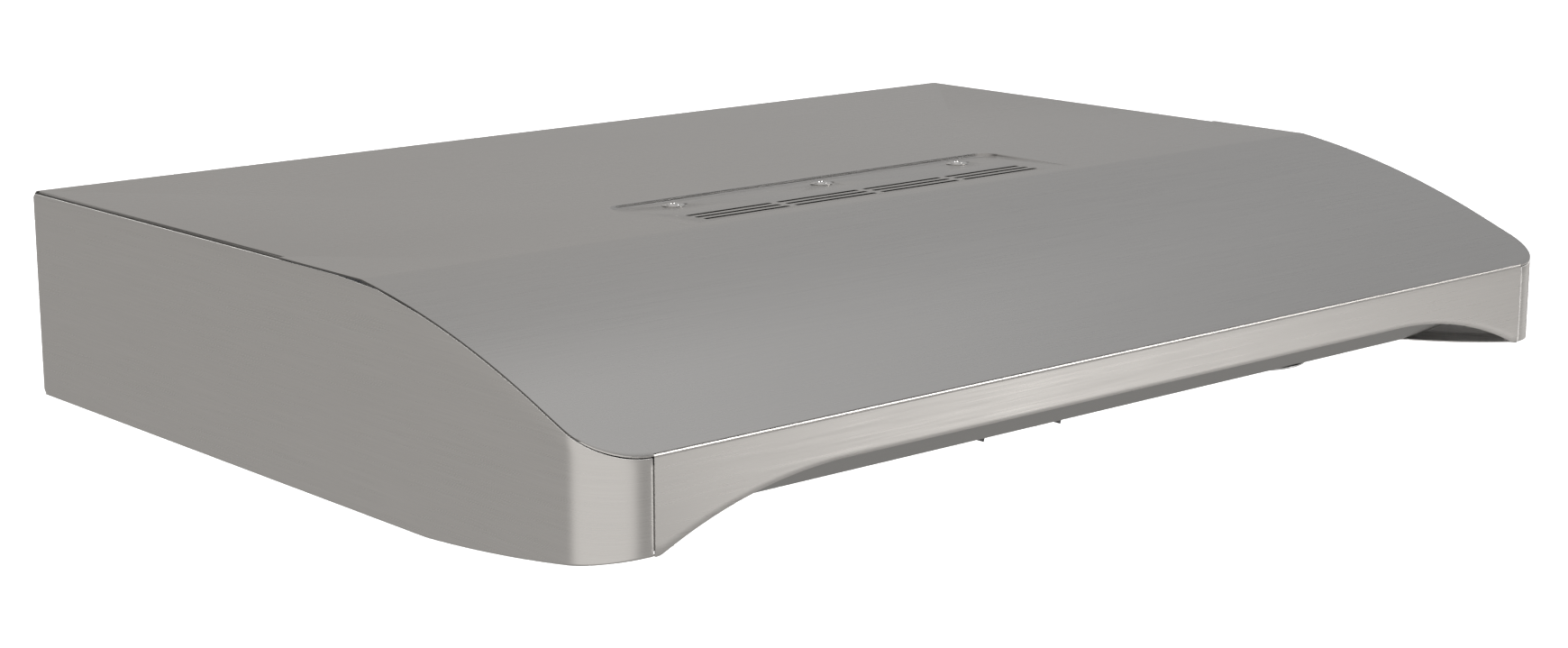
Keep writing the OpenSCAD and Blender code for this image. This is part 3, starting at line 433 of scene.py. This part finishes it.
# %% [markdown]
# ## The side panels
# Each side is one sheet: it starts at the seam, turns the round front corner, runs back
# to the wall and is folded in along its rising lower edge. It is a profile (wall, fold,
# flange) carried along the plan of the corner. A second coordinate set, in metres along
# and down the sheet, lets the brushing follow the metal round the corner.

# %% Path of the side panels
rise_y = 148 * mm
rise_r = 1223 * mm
rear_r = 3 * mm
flange_w = 32 * mm
fold_r = 1.6 * mm
shadow_gap = 0.6 * mm
tab_w = 15 * mm
tab_low = 4 * mm
tab_drop = 2 * mm
chord = math.hypot(rise_y, rise_h)
rise_mid = math.sqrt(rise_r ** 2 - chord ** 2 / 4)
rise_cy = rise_y / 2 + rise_mid * rise_h / chord
rise_cz = rise_h / 2 + rise_mid * rise_y / chord


def side_path():
    """Points (x, y) of the outer face with their outward normals: a quarter circle from the
    seam, then straight back, with close points where the rear corners are rounded."""
    a = np.linspace(math.asin((corner_x - corner_cx) / corner_r), math.pi / 2, 34)
    back = np.concatenate([np.linspace(corner_r, rise_y, 22)[1:],
                           np.linspace(rise_y, depth - rear_r, 12)[1:],
                           depth - rear_r * (1 - np.sin(np.linspace(0, math.pi / 2, 8)[1:]))])
    x = np.append(corner_cx + corner_r * np.sin(a), np.full_like(back, half_w))
    y = np.append(corner_r - corner_r * np.cos(a), back)
    normal_x = np.append(np.sin(a), np.ones_like(back))
    normal_y = np.append(-np.cos(a), np.zeros_like(back))
    return x, y, normal_x, normal_y


def lower_edge(y):
    """The side's lower edge: a long circle that rises towards the front."""
    arc = rise_cz - np.sqrt(rise_r ** 2 - (y - rise_cy) ** 2)
    return np.where(y < rise_y, arc, 0)


def side_patches():
    """The right-hand panel: rows down the wall, round the fold and across the flange, and a
    small tab behind for the rear panel's screws. A narrow gap under the cover keeps the
    two sheets from rubbing, and shows as a dark line."""
    x, y, nx, ny = side_path()
    past = np.maximum(y - (depth - rear_r), 0)
    cut = rear_r - np.sqrt(np.maximum(rear_r ** 2 - past ** 2, 0))
    z_top = top_height(y, sheet + shadow_gap) - cut
    z_low = lower_edge(y) + cut
    share = np.linspace(0, 1, 9)[:, None]
    wall_z = z_top + (z_low + fold_r - z_top) * share
    b = np.linspace(0, math.pi / 2, 8)[1:, None]
    inwards = np.concatenate([0 * wall_z, fold_r * (1 - np.cos(b)) + 0 * x])
    z = np.concatenate([wall_z, z_low + fold_r * (1 - np.sin(b))])
    px, py = x - nx * inwards, y - ny * inwards
    across = np.linspace(0, 1, 5)[1:, None]
    px = np.concatenate([px, px[-1] + (half_w - flange_w - px[-1]) * across])
    py = np.concatenate([py, py[-1] + 0 * across])
    z = np.concatenate([z, z_low + 0 * across])
    points = np.stack([px, py, z], axis=-1)
    rows, cols = z.shape
    folded = np.arange(rows - 1)[:, None] >= len(share) - 1
    at_rear = np.arange(cols - 1)[None, :] >= cols - 8
    run = np.concatenate([[0], np.cumsum(np.hypot(np.diff(x), np.diff(y)))])
    bent = np.cumsum(np.linalg.norm(np.diff(points[len(share) - 1:], axis=0), axis=-1), axis=0)
    sheet_v = np.concatenate([wall_z, wall_z[-1] - bent])
    panel = grid(points, keep=~(folded & at_rear), flip=True)
    panel["uv"] = np.stack([np.broadcast_to(run, z.shape), sheet_v], axis=-1).reshape(-1, 2)
    tab_x = np.array([half_w - tab_w, half_w - sheet])
    tab_z = np.array([tab_low, top_z - lip_h - tab_drop])
    tx, tz = np.meshgrid(tab_x, tab_z)
    tab = grid(np.stack([tx, np.full_like(tx, depth - 2 * sheet), tz], axis=-1))
    tab["uv"] = np.stack([tx, tz], axis=-1).reshape(-1, 2)
    return [panel, tab]


# %% Both side panels
side = side_patches()
piece("side_skin_right", side, "brushed_sides", nodes=["side_panel_right"],
      thickness=sheet, burr=burr_w)
piece("side_skin_left", [mirrored(p) for p in side], "brushed_sides",
      nodes=["side_panel_left"], thickness=sheet, burr=burr_w)

# %% [markdown]
# ## Turned parts
# Screws and lenses are round, so a profile of radius and height is turned about an
# axis. On the screws the cross is pressed into the head by lowering the points that lie
# in it; on the lenses fine rings of prisms spread the light, as on a real downlight.

# %% Turned parts
def turned(radii, heights, centre, points=72, dent=None, tilt=0.0):
    """A profile turned about a vertical axis through centre; dent(x, y) is how far a point
    is pushed down, and tilt leans the whole about X."""
    a = np.arange(points) * 2 * np.pi / points
    x = radii[:, None] * np.cos(a)
    y = radii[:, None] * np.sin(a)
    z = heights[:, None] - (dent(x, y) if dent else 0 * x)
    ty = y * math.cos(tilt) - z * math.sin(tilt)
    tz = y * math.sin(tilt) + z * math.cos(tilt)
    return grid(np.stack([x, ty, tz], axis=-1) + centre, closed=True)


cross_r = 2.7 * mm
cross_arm = 0.62 * mm
cross_depth = 0.62 * mm


def cross_dent(x, y):
    """A cross-shaped recess: deepest in the middle, with two crossed arms whose sides and
    ends slope."""
    arm = np.minimum(np.abs(x), np.abs(y))
    r = np.hypot(x, y)
    across = np.clip((cross_arm - arm) / (0.18 * mm), 0, 1)
    endwise = np.clip((cross_r - r) / (0.5 * mm), 0, 1)
    return cross_depth * across * endwise * (1 - 0.35 * r / cross_r)


# %% Vent screws
def screw_patches(x):
    """A washer-headed screw: domed head with a cross, flared washer and plain shank."""
    t = np.linspace(0, 1, 26)
    head_r = 4.4 * mm
    dome = np.column_stack([head_r * t, (1.42 - 0.5 * t ** 3.2) * mm])
    side_wall = np.array([[4.45, 0.8], [4.5, 0.72], [4.9, 0.7], [6.3, 0.55], [6.85, 0.42],
                          [7.0, 0.25], [6.95, 0.05], [2.0, 0.02], [2.0, -7.0], [0.0, -7.0]]) * mm
    profile = np.concatenate([dome, side_wall])
    centre = np.array([x, screw_y, float(floor_height(0, screw_y))])
    tilt = -math.atan(vent_fall)
    made = turned(profile[:, 0], profile[:, 1], centre, dent=cross_dent, tilt=tilt)
    made["faces"] = [f[::-1] for f in made["faces"]]
    return made


piece("vent_screw_heads", [screw_patches(x) for x in screw_x], "screw_steel",
      nodes=["vent_screws"], sharp=40)

# %% Lamp lenses
ring_count = 14
ring_depth = 0.16 * mm
plain_rim = 0.93
lens_rise = 0.35 * mm


def lens_patches(node):
    """A shallow dome facing down with rings of fine prisms, and a flat back."""
    low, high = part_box(node)
    r = (high.x - low.x) / 2
    t = np.linspace(0, 1, 120)
    ripple = ring_depth * np.abs(np.sin(np.pi * ring_count * t)) * (t < plain_rim)
    face = np.column_stack([r * t, lens_rise * t ** 2 + ripple])
    back = np.array([[r, (high.z - low.z)], [0, (high.z - low.z)]])
    profile = np.concatenate([face, back])
    centre = np.array([(low.x + high.x) / 2, (low.y + high.y) / 2 - front_y, low.z])
    return turned(profile[:, 0], profile[:, 1], centre, points=96)


for side_name in ("left", "right"):
    piece("lamp_glass_" + side_name, [lens_patches("lamp_lens_" + side_name)], "lens",
          nodes=["lamp_lens_" + side_name], sharp=25)

# %% [markdown]
# ## Filters
# A grease filter is three layers of expanded aluminium in a folded frame. Slits are cut
# in a foil and pulled open, which leaves rows of diamonds joined at their tips. Every
# strand is a zigzag, and each next row is shifted by half a diamond so that tips meet.
# A picture of holes would look flat from below, so the strands are real thin bars.

# %% Expanded metal
diamond_l = 11 * mm
diamond_w = 5.6 * mm
strand_w = 1.05 * mm
strand_t = 0.4 * mm
strand_lean = 0.6 * mm
layers = 3


def strands(x0, x1, y0, y1, z, shift):
    """Rows of flat zigzag bars between x0 and x1. Row j has its tips at
    y = middle + (-1)^(k + j) * diamond_w / 4, so neighbouring rows touch tip to tip."""
    count = max(int((y1 - y0) / (diamond_w / 2)), 1)
    steps = max(int(round((x1 - x0) / (diamond_l / 2))), 2)
    row = np.arange(count)[:, None]
    k = np.arange(steps + 1)[None, :]
    x = x0 + (x1 - x0) * k / steps + 0 * row
    middle = y0 + (row + 0.5) * (y1 - y0) / count
    y = middle + (diamond_w / 4 - strand_w * 0.3) * np.where((k + row + shift) % 2, 1, -1)
    corners = np.array([[-0.5, -0.5, -0.35], [0.5, -0.15, 0.35],
                        [0.5, 0.5, 0.35], [-0.5, 0.15, -0.35]])
    ring = np.stack([x, y, z + 0 * x], axis=-1)[:, :, None, :] + 0 * corners[:, :1]
    ring[..., 1] += corners[:, 0] * strand_w
    ring[..., 2] += corners[:, 1] * strand_t + corners[:, 2] * strand_lean
    index = np.arange(ring.shape[0] * ring.shape[1] * 4).reshape(ring.shape[:3])
    turn = np.concatenate([index, index[:, :, :1]], axis=2)
    here, after = turn[:, :-1], turn[:, 1:]
    quads = np.stack([here[..., :-1], after[..., :-1], after[..., 1:], here[..., 1:]], axis=-1)
    caps = np.concatenate([index[:, 0, ::-1], index[:, -1, :]])
    faces = np.concatenate([quads.reshape(-1, 4), caps]).tolist()
    return {"points": ring.reshape(-1, 3), "faces": faces}


# %% Filter meshes
latch_gap = 7 * mm
latch_reach = 9 * mm


def filter_patches(side_name):
    """Three layers of strands inside the filter's frame, left out round its latch."""
    low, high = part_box("filter_mesh_" + side_name)
    latch_low, latch_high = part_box("latch_" + side_name)
    y0, y1 = low.y - front_y, high.y - front_y
    cut_y = latch_high.y - front_y + latch_reach
    patches = []
    for layer in range(layers):
        z = low.z + strand_t + layer * (high.z - low.z - 2 * strand_t) / (layers - 1)
        patches.append(strands(low.x, high.x, cut_y, y1, z, layer))
        patches.append(strands(low.x, latch_low.x - latch_gap, y0, cut_y, z, layer))
        patches.append(strands(latch_high.x + latch_gap, high.x, y0, cut_y, z, layer))
    return patches


for side_name in ("left", "right"):
    piece("filter_weave_" + side_name, filter_patches(side_name), "mesh",
          nodes=["filter_mesh_" + side_name], body="filter_" + side_name, sharp=20)

# %% [markdown]
# ## Shader expressions
# Every finish is built from a few patterns and some arithmetic. Writing that arithmetic
# as nodes by hand hides it, so a small class wraps a node's output: adding or
# multiplying two of them adds a Math node, and the finish reads like a formula.

# %% Shader expressions
class Pattern:
    """An output of a node. + - and * between patterns and numbers add Math nodes."""

    def __init__(self, finish, socket):
        self.finish, self.socket = finish, socket

    def math(self, operation, first, second):
        return self.finish.add("ShaderNodeMath", {"operation": operation}, {0: first, 1: second})

    def __add__(self, other):
        return self.math("ADD", self, other)

    def __sub__(self, other):
        return self.math("SUBTRACT", self, other)

    def __rsub__(self, other):
        return self.math("SUBTRACT", other, self)

    def __mul__(self, other):
        return self.math("MULTIPLY", self, other)

    def output(self, name):
        """Another output of the same node."""
        return Pattern(self.finish, self.socket.node.outputs[name])

    __radd__ = __add__
    __rmul__ = __mul__

    def between(self, low, high):
        """0 below low, 1 above high, and straight between them."""
        limits = {1: low, 2: high, 3: 0.0, 4: 1.0}
        return self.finish.add("ShaderNodeMapRange", {"clamp": True}, {0: self, **limits})


class Nodes:
    """A node tree that patterns are added to."""

    def __init__(self, tree):
        self.tree = tree

    def add(self, kind, settings=None, inputs=None, output=0):
        """Adds a node: its settings first, then a value or a link for each named socket."""
        node = self.tree.nodes.new(kind)
        for key, value in (settings or {}).items():
            setattr(node, key, value)
        for key, value in (inputs or {}).items():
            if isinstance(value, Pattern):
                self.tree.links.new(value.socket, node.inputs[key])
            else:
                node.inputs[key].default_value = value
        return Pattern(self, node.outputs[output])


class Finish(Nodes):
    """A material with one Principled shader. Constants are set on the shader itself."""

    def __init__(self, name, **constants):
        self.material = bpy.data.materials.new(name)
        self.material.use_nodes = True
        super().__init__(self.material.node_tree)
        self.shader = self.tree.nodes["Principled BSDF"]
        for key, value in constants.items():
            socket = key.replace("_", " ").title().replace("Ior", "IOR")
            self.shader.inputs[socket].default_value = value

    def feed(self, name, pattern):
        self.tree.links.new(pattern.socket, self.shader.inputs[name])

    def at(self, source, stretch):
        """Object or UV coordinates, stretched along the axes."""
        place = self.add("ShaderNodeTexCoord", output=source)
        return self.add("ShaderNodeMapping", {}, {"Vector": place, "Scale": stretch})

    def normal(self):
        """The three parts of the direction that a face looks in; its own value is X."""
        turned_to = self.add("ShaderNodeNewGeometry", output="Normal")
        return self.add("ShaderNodeSeparateXYZ", {}, {0: turned_to})

    def place(self):
        """The three parts of a point's place in the object; its own value is X."""
        point = self.add("ShaderNodeTexCoord", output="Object")
        return self.add("ShaderNodeSeparateXYZ", {}, {0: point})

    def cells(self, where, scale, feature="F1", output="Distance"):
        inputs = {"Vector": where, "Scale": scale}
        return self.add("ShaderNodeTexVoronoi", {"feature": feature}, inputs, output)

    def noise(self, where, scale=1.0, detail=2.0, roughness=0.5):
        inputs = {"Vector": where, "Scale": scale, "Detail": detail, "Roughness": roughness}
        return self.add("ShaderNodeTexNoise", {}, inputs, output="Fac")

    def blend(self, share, first, second):
        """A colour between two others. Sockets 6 and 7 of the node are its colours."""
        first, second = (c if isinstance(c, Pattern) else (*c, 1.0) for c in (first, second))
        inputs = {0: share, 6: first, 7: second}
        return self.add("ShaderNodeMix", {"data_type": "RGBA"}, inputs, output=2)

    def bump(self, height, depth_m, strength=1.0):
        inputs = {"Strength": strength, "Distance": depth_m, "Height": height}
        self.feed("Normal", self.add("ShaderNodeBump", {}, inputs, output="Normal"))


# %% [markdown]
# ## Brushed steel
# Brushing drags grit one way and leaves scratches as long as a hand and thinner than a
# hair. A stretched noise gives them: slow along the brushing, very fast across. The
# scratches vary the colour a little, the roughness more, and tilt the surface through
# bump. A much wider noise adds the faint bands and finger marks of a handled sheet. Two
# masks, both read from the way a face looks, add the mill's dull back and a painted shade
# that darkens the upright faces high on the cover.

# %% Brushed steel
def dull_back(f):
    """1 on the faces that look into the hood and 0 outside: the outer faces of a side panel
    look away from the middle, to the front or down."""
    normal = f.normal()
    side_sign = f.add("ShaderNodeMath", {"operation": "SIGN"}, {0: f.place()})
    outwards = normal * side_sign - normal.output("Y") - normal.output("Z")
    return (0.0 - outwards).between(0.0, 0.3)


# Painted shade: upright faces high on the cover (slot and hole walls, lips, raw edges) are
# coloured near black.
def painted_edge_shade(f, above):
    """1 on upright faces higher than above: slot walls, lips and raw edges, given painted shade.
    """
    upright = 1.0 - f.add("ShaderNodeMath", {"operation": "ABSOLUTE"}, {0: f.normal().output("Z")})
    high_up = f.place().output("Z").between(above, above + 0.1 * mm)
    return upright.between(0.45, 0.6) * high_up


def brushed(name, source, along, colour, rough=0.27, shade_edges_above=None):
    """Scratches at three widths, from bands to hairlines, and soft smudges. The back of a
    side panel keeps the mill's dull grey film; upright faces up high get dark painted shade."""
    f = Finish(name, metallic=1.0)
    hair = f.noise(f.at(source, tuple(25.0 if a else 2400.0 for a in along)), detail=2.0)
    line = f.noise(f.at(source, tuple(12.0 if a else 900.0 for a in along)), detail=1.0)
    band = f.noise(f.at(source, tuple(5.0 if a else 120.0 for a in along)), detail=2.0)
    smudge = f.noise(f.at(source, (7.0, 7.0, 7.0)), detail=3.0)
    grain = hair * 0.5 + line * 0.42 + band * 0.08
    dark = tuple(c * 0.95 for c in colour)
    light = tuple(min(c * 1.035, 1.0) for c in colour)
    tone = f.blend(grain.between(0.3, 0.7), dark, light)
    # Painted shade: the upright faces high on the sheet are blended towards a near-black grey.
    if shade_edges_above:
        tone = f.blend(painted_edge_shade(f, shade_edges_above), tone, (0.16, 0.155, 0.15))
    f.feed("Base Color", tone)
    f.feed("Roughness", rough - 0.05 + 0.1 * grain.between(0.25, 0.75) + 0.05 * smudge)
    if source == "UV":
        f.feed("Metallic", 1.0 - 0.85 * dull_back(f))
    f.bump(grain, 0.00004, 0.3)
    return f.material


# %% Other metals
def zinc_coat(name):
    """Galvanised sheet: flakes of zinc crystals a few millimetres wide, dull and bluish."""
    f = Finish(name, metallic=1.0)
    place = f.at("Object", (1.0, 1.0, 1.0))
    flake = f.cells(place, 170.0, output="Color")
    tone = f.add("ShaderNodeRGBToBW", {}, {"Color": flake})
    cloud = f.noise(place, 35.0, 3.0)
    f.feed("Base Color", f.blend(tone * 0.7 + cloud * 0.3, (0.40, 0.41, 0.43), (0.58, 0.60, 0.62)))
    f.feed("Roughness", 0.34 + 0.16 * tone + 0.1 * cloud)
    f.bump(tone * 0.4 + cloud, 0.00004, 0.4)
    return f.material


def cast(name, low, high, rough, metallic=1.0, scale=420.0, depth_m=0.00004):
    """A plain metal or paint: fine grain, slow colour drift and slightly worn sheen."""
    f = Finish(name, metallic=metallic)
    place = f.at("Object", (1.0, 1.0, 1.0))
    grain = f.noise(place, scale, 3.0)
    drift = f.noise(place, 22.0, 3.0)
    f.feed("Base Color", f.blend(0.55 * grain + 0.45 * drift, low, high))
    f.feed("Roughness", rough - 0.06 + 0.12 * drift + 0.05 * grain)
    f.bump(grain, depth_m, 0.5)
    return f.material


def turned_metal(name, low, high):
    """Bright metal with fine turning lines stacked up the axis."""
    f = Finish(name, metallic=1.0)
    lines = f.noise(f.at("Object", (300.0, 300.0, 2200.0)), detail=2.0)
    drift = f.noise(f.at("Object", (40.0, 40.0, 40.0)), detail=2.0)
    f.feed("Base Color", f.blend(lines, low, high))
    f.feed("Roughness", 0.16 + 0.14 * lines + 0.06 * drift)
    f.bump(lines, 0.00002, 0.4)
    return f.material


# %% Plastics and foam
def moulded(name, low, high, rough, scale=900.0, depth_m=0.00005):
    """Moulded plastic: a fine spark-eroded grain and a slow change of sheen."""
    f = Finish(name, ior=1.49)
    place = f.at("Object", (1.0, 1.0, 1.0))
    cells = f.cells(place, scale, feature="SMOOTH_F1")
    drift = f.noise(place, 45.0, 2.0)
    f.feed("Base Color", f.blend(drift, low, high))
    f.feed("Roughness", rough + 0.12 * drift - 0.06 + 0.1 * cells)
    f.bump(cells, depth_m, 0.5)
    return f.material


def foam_rubber(name):
    """Closed-cell foam: round pores, with painted shade that darkens them where they are deep."""
    f = Finish(name)
    place = f.at("Object", (1.0, 1.0, 1.0))
    pores = f.cells(place, 1400.0)
    deep = pores.between(0.1, 0.6)
    # Painted shade: the pores are darkened where they are deep.
    f.feed("Base Color", f.blend(deep, (0.03, 0.03, 0.032), (0.012, 0.012, 0.012)))
    f.feed("Roughness", 0.95 - 0.12 * pores)
    f.bump(pores, 0.0002, 0.7)
    return f.material


def frosted(name):
    """Milky lens: white, half glossy, with a soft bloom of slow thickness changes."""
    f = Finish(name, ior=1.5, coat_roughness=0.2)
    place = f.at("Object", (1.0, 1.0, 1.0))
    bloom = f.noise(place, 60.0, 3.0)
    frost = f.noise(place, 1600.0, 2.0)
    f.feed("Base Color", f.blend(bloom, (0.80, 0.81, 0.82), (0.90, 0.90, 0.89)))
    f.feed("Roughness", 0.28 + 0.14 * frost)
    f.feed("Coat Weight", 0.35 + 0.2 * bloom)
    f.bump(frost, 0.00003, 0.4)
    return f.material


# %% One finish for each slot
steel = (0.640, 0.628, 0.612)
rear_steel = (0.600, 0.592, 0.580)
along_x = (1, 0, 0)
finishes = {
    # On the cover, upright faces above 75 mm get painted shade.
    "brushed_cover": brushed("brushed_cover", "Object", along_x, steel, shade_edges_above=75 * mm),
    "brushed_sides": brushed("brushed_sides", "UV", along_x, steel),
    "brushed_rear": brushed("brushed_rear", "Object", along_x, rear_steel, 0.32),
    "dark_steel": cast("dark_steel", (0.27, 0.27, 0.262), (0.40, 0.395, 0.385), 0.42),
    "zinc": zinc_coat("zinc"),
    "trim": turned_metal("trim", (0.62, 0.63, 0.64), (0.78, 0.78, 0.78)),
    "lens": frosted("lens"),
    "aluminium": cast("aluminium", (0.66, 0.67, 0.68), (0.80, 0.81, 0.82), 0.32),
    "mesh": cast("mesh", (0.58, 0.59, 0.60), (0.84, 0.85, 0.86), 0.28, scale=700.0),
    "black_plastic": moulded("black_plastic", (0.012, 0.012, 0.013), (0.022, 0.022, 0.024),
                             0.42),
    "rocker_plastic": moulded("rocker_plastic", (0.010, 0.010, 0.011), (0.018, 0.018, 0.019),
                              0.24),
    "white_plastic": moulded("white_plastic", (0.74, 0.74, 0.71), (0.82, 0.82, 0.80), 0.36),
    "foam": foam_rubber("foam"),
    "motor_paint": cast("motor_paint", (0.05, 0.052, 0.055), (0.09, 0.092, 0.095), 0.45,
                        metallic=0.3),
    "shaft_steel": turned_metal("shaft_steel", (0.55, 0.55, 0.56), (0.72, 0.72, 0.72)),
    "screw_steel": cast("screw_steel", (0.72, 0.71, 0.70), (0.88, 0.87, 0.86), 0.20, scale=900.0),
    "cable": moulded("cable", (0.016, 0.016, 0.017), (0.030, 0.030, 0.032), 0.38, 1500.0),
}

# %% Every part gets its finish
for part in frame["record"]["subparts"]:
    node = frame["nodes"][part["node"]]
    node.data.materials.clear()
    node.data.materials.append(finishes[part["material_slot"]])
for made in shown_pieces():
    if "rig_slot" in made:
        made.data.materials.clear()
        made.data.materials.append(finishes[made["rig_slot"]])
print(len(finishes), "finishes")

# %% [markdown]
# ## Studio
# Brushed steel has little colour of its own: it shows what stands round it. Lamps in the
# scene would have to be large and exactly placed, so the room itself carries soft panels,
# bright and dark, and each face of the hood reflects the one that suits it. A pale floor
# and a very wide overhead lamp light the parts that are not metal.

# %% Floor
def stage_plane(name, corners, material):
    mesh = bpy.data.meshes.new(name)
    mesh.from_pydata(corners, [], [list(range(len(corners)))])
    mesh.materials.append(material)
    plane = bpy.data.objects.new(name, mesh)
    bpy.context.scene.collection.objects.link(plane)
    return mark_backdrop(plane) or plane


def floor_material():
    """Pale matt floor that can be seen through from below."""
    pale_grey = (0.87, 0.87, 0.87, 1)
    f = Finish("pale_floor", roughness=0.9, specular_ior_level=0.1, base_color=pale_grey)
    behind = f.add("ShaderNodeNewGeometry", output="Backfacing")
    clear = f.add("ShaderNodeBsdfTransparent")
    mixed = f.add("ShaderNodeMixShader", {}, {0: behind, 2: clear})
    f.tree.links.new(f.shader.outputs[0], mixed.socket.node.inputs[1])
    f.tree.links.new(mixed.socket, f.tree.nodes["Material Output"].inputs["Surface"])
    return f.material


floor_z = -0.40
reach = 30.0
floor = stage_plane("floor", [(-reach, -reach, floor_z), (reach, -reach, floor_z),
                              (reach, reach, floor_z), (-reach, reach, floor_z)], floor_material())
floor.visible_glossy = False

# %% Overhead light
overhead = bpy.data.objects.new("overhead", bpy.data.lights.new("overhead", "SUN"))
overhead.data.energy, overhead.data.angle = 7.0, math.radians(120)
overhead.rotation_euler = (math.radians(58), 0, 0)
overhead.visible_glossy = overhead.visible_camera = False
bpy.context.scene.collection.objects.link(overhead)

# %% World: soft panels round the room
world = bpy.data.worlds.new("studio")
bpy.context.scene.world = world
world.use_nodes = True
room = Nodes(world.node_tree)
direction = room.add("ShaderNodeTexCoord", output="Generated")


def panel(azimuth, elevation, inner, outer):
    """1 within inner degrees of a direction and 0 beyond outer degrees, soft between.
    Azimuth runs from +X to +Y."""
    a, e = math.radians(azimuth), math.radians(elevation)
    towards = (math.cos(a) * math.cos(e), math.sin(a) * math.cos(e), math.sin(e))
    dot = {"operation": "DOT_PRODUCT"}
    near = room.add("ShaderNodeVectorMath", dot, {0: direction, 1: towards}, output=1)
    limits = {1: math.cos(math.radians(outer)), 2: math.cos(math.radians(inner)), 3: 0.0, 4: 1.0}
    soft = {"interpolation_type": "SMOOTHSTEP"}
    return room.add("ShaderNodeMapRange", soft, {0: near, **limits})


room_light = 0.43
panels = [
    (0.43, 210, -8, 50, 72),      # bright side of the room, for the round front corner
    (1.6, -43.8, -14, 1, 8),      # narrow window, for the middle of the front face
    (8.0, -36, 36, 3, 10),        # small lamp, for the line along the bend
    (0.22, 31, 50, 4, 16),        # for the foot of the slope
    (0.03, 140, -15, 10, 26),     # for the front part of the side panel
    (0.3, -4, -12, 8, 20),        # for the corner at the far end
    (-0.34, 106, 42, 12, 34),     # dark, for the folded edge along the top
    (-0.36, -12, 50, 8, 20),      # dark, for the rear wall of the recess
    (-0.05, 26, 18, 6, 22)]       # for the far end of the flat top
light = sum((amount * panel(*where) for amount, *where in panels), room_light)
warm = room.add("ShaderNodeMix", {"data_type": "RGBA"},
                {0: panel(18, 32, 8, 40), 6: (1.02, 0.995, 0.968, 1), 7: (0.995, 1.0, 1.01, 1)}, 2)
lit = room.add("ShaderNodeBackground", {}, {"Color": warm, "Strength": light})
pale = room.add("ShaderNodeBackground", {}, {"Color": (1.0, 1.0, 1.0, 1), "Strength": 1.0})
seen = room.add("ShaderNodeLightPath", output="Is Camera Ray")
both = room.add("ShaderNodeMixShader", {}, {0: seen, 1: lit, 2: pale})
room.tree.links.new(both.socket, room.tree.nodes["World Output"].inputs["Surface"])

# %% Camera
def look_from(yaw, pitch, distance, target, lens):
    """A camera at a distance from target, looking along yaw (from +Y to +X), pitch down."""
    a, e = math.radians(yaw), math.radians(pitch)
    ahead = Vector((math.sin(a) * math.cos(e), math.cos(a) * math.cos(e), -math.sin(e)))
    camera = bpy.data.objects.new("camera", bpy.data.cameras.new("camera"))
    camera.data.lens, camera.data.sensor_width = lens, 36
    camera.location = Vector(target) - ahead * distance
    camera.rotation_mode = "QUATERNION"
    camera.rotation_quaternion = ahead.to_track_quat("-Z", "Y")
    bpy.context.scene.collection.objects.link(camera)
    return camera


bpy.context.scene.camera = look_from(yaw=41.451, pitch=12.314, distance=1.763,
                                     target=(-0.0169, -0.0120, 0.0360), lens=65.33)
bpy.context.scene.view_settings.view_transform = "Standard"
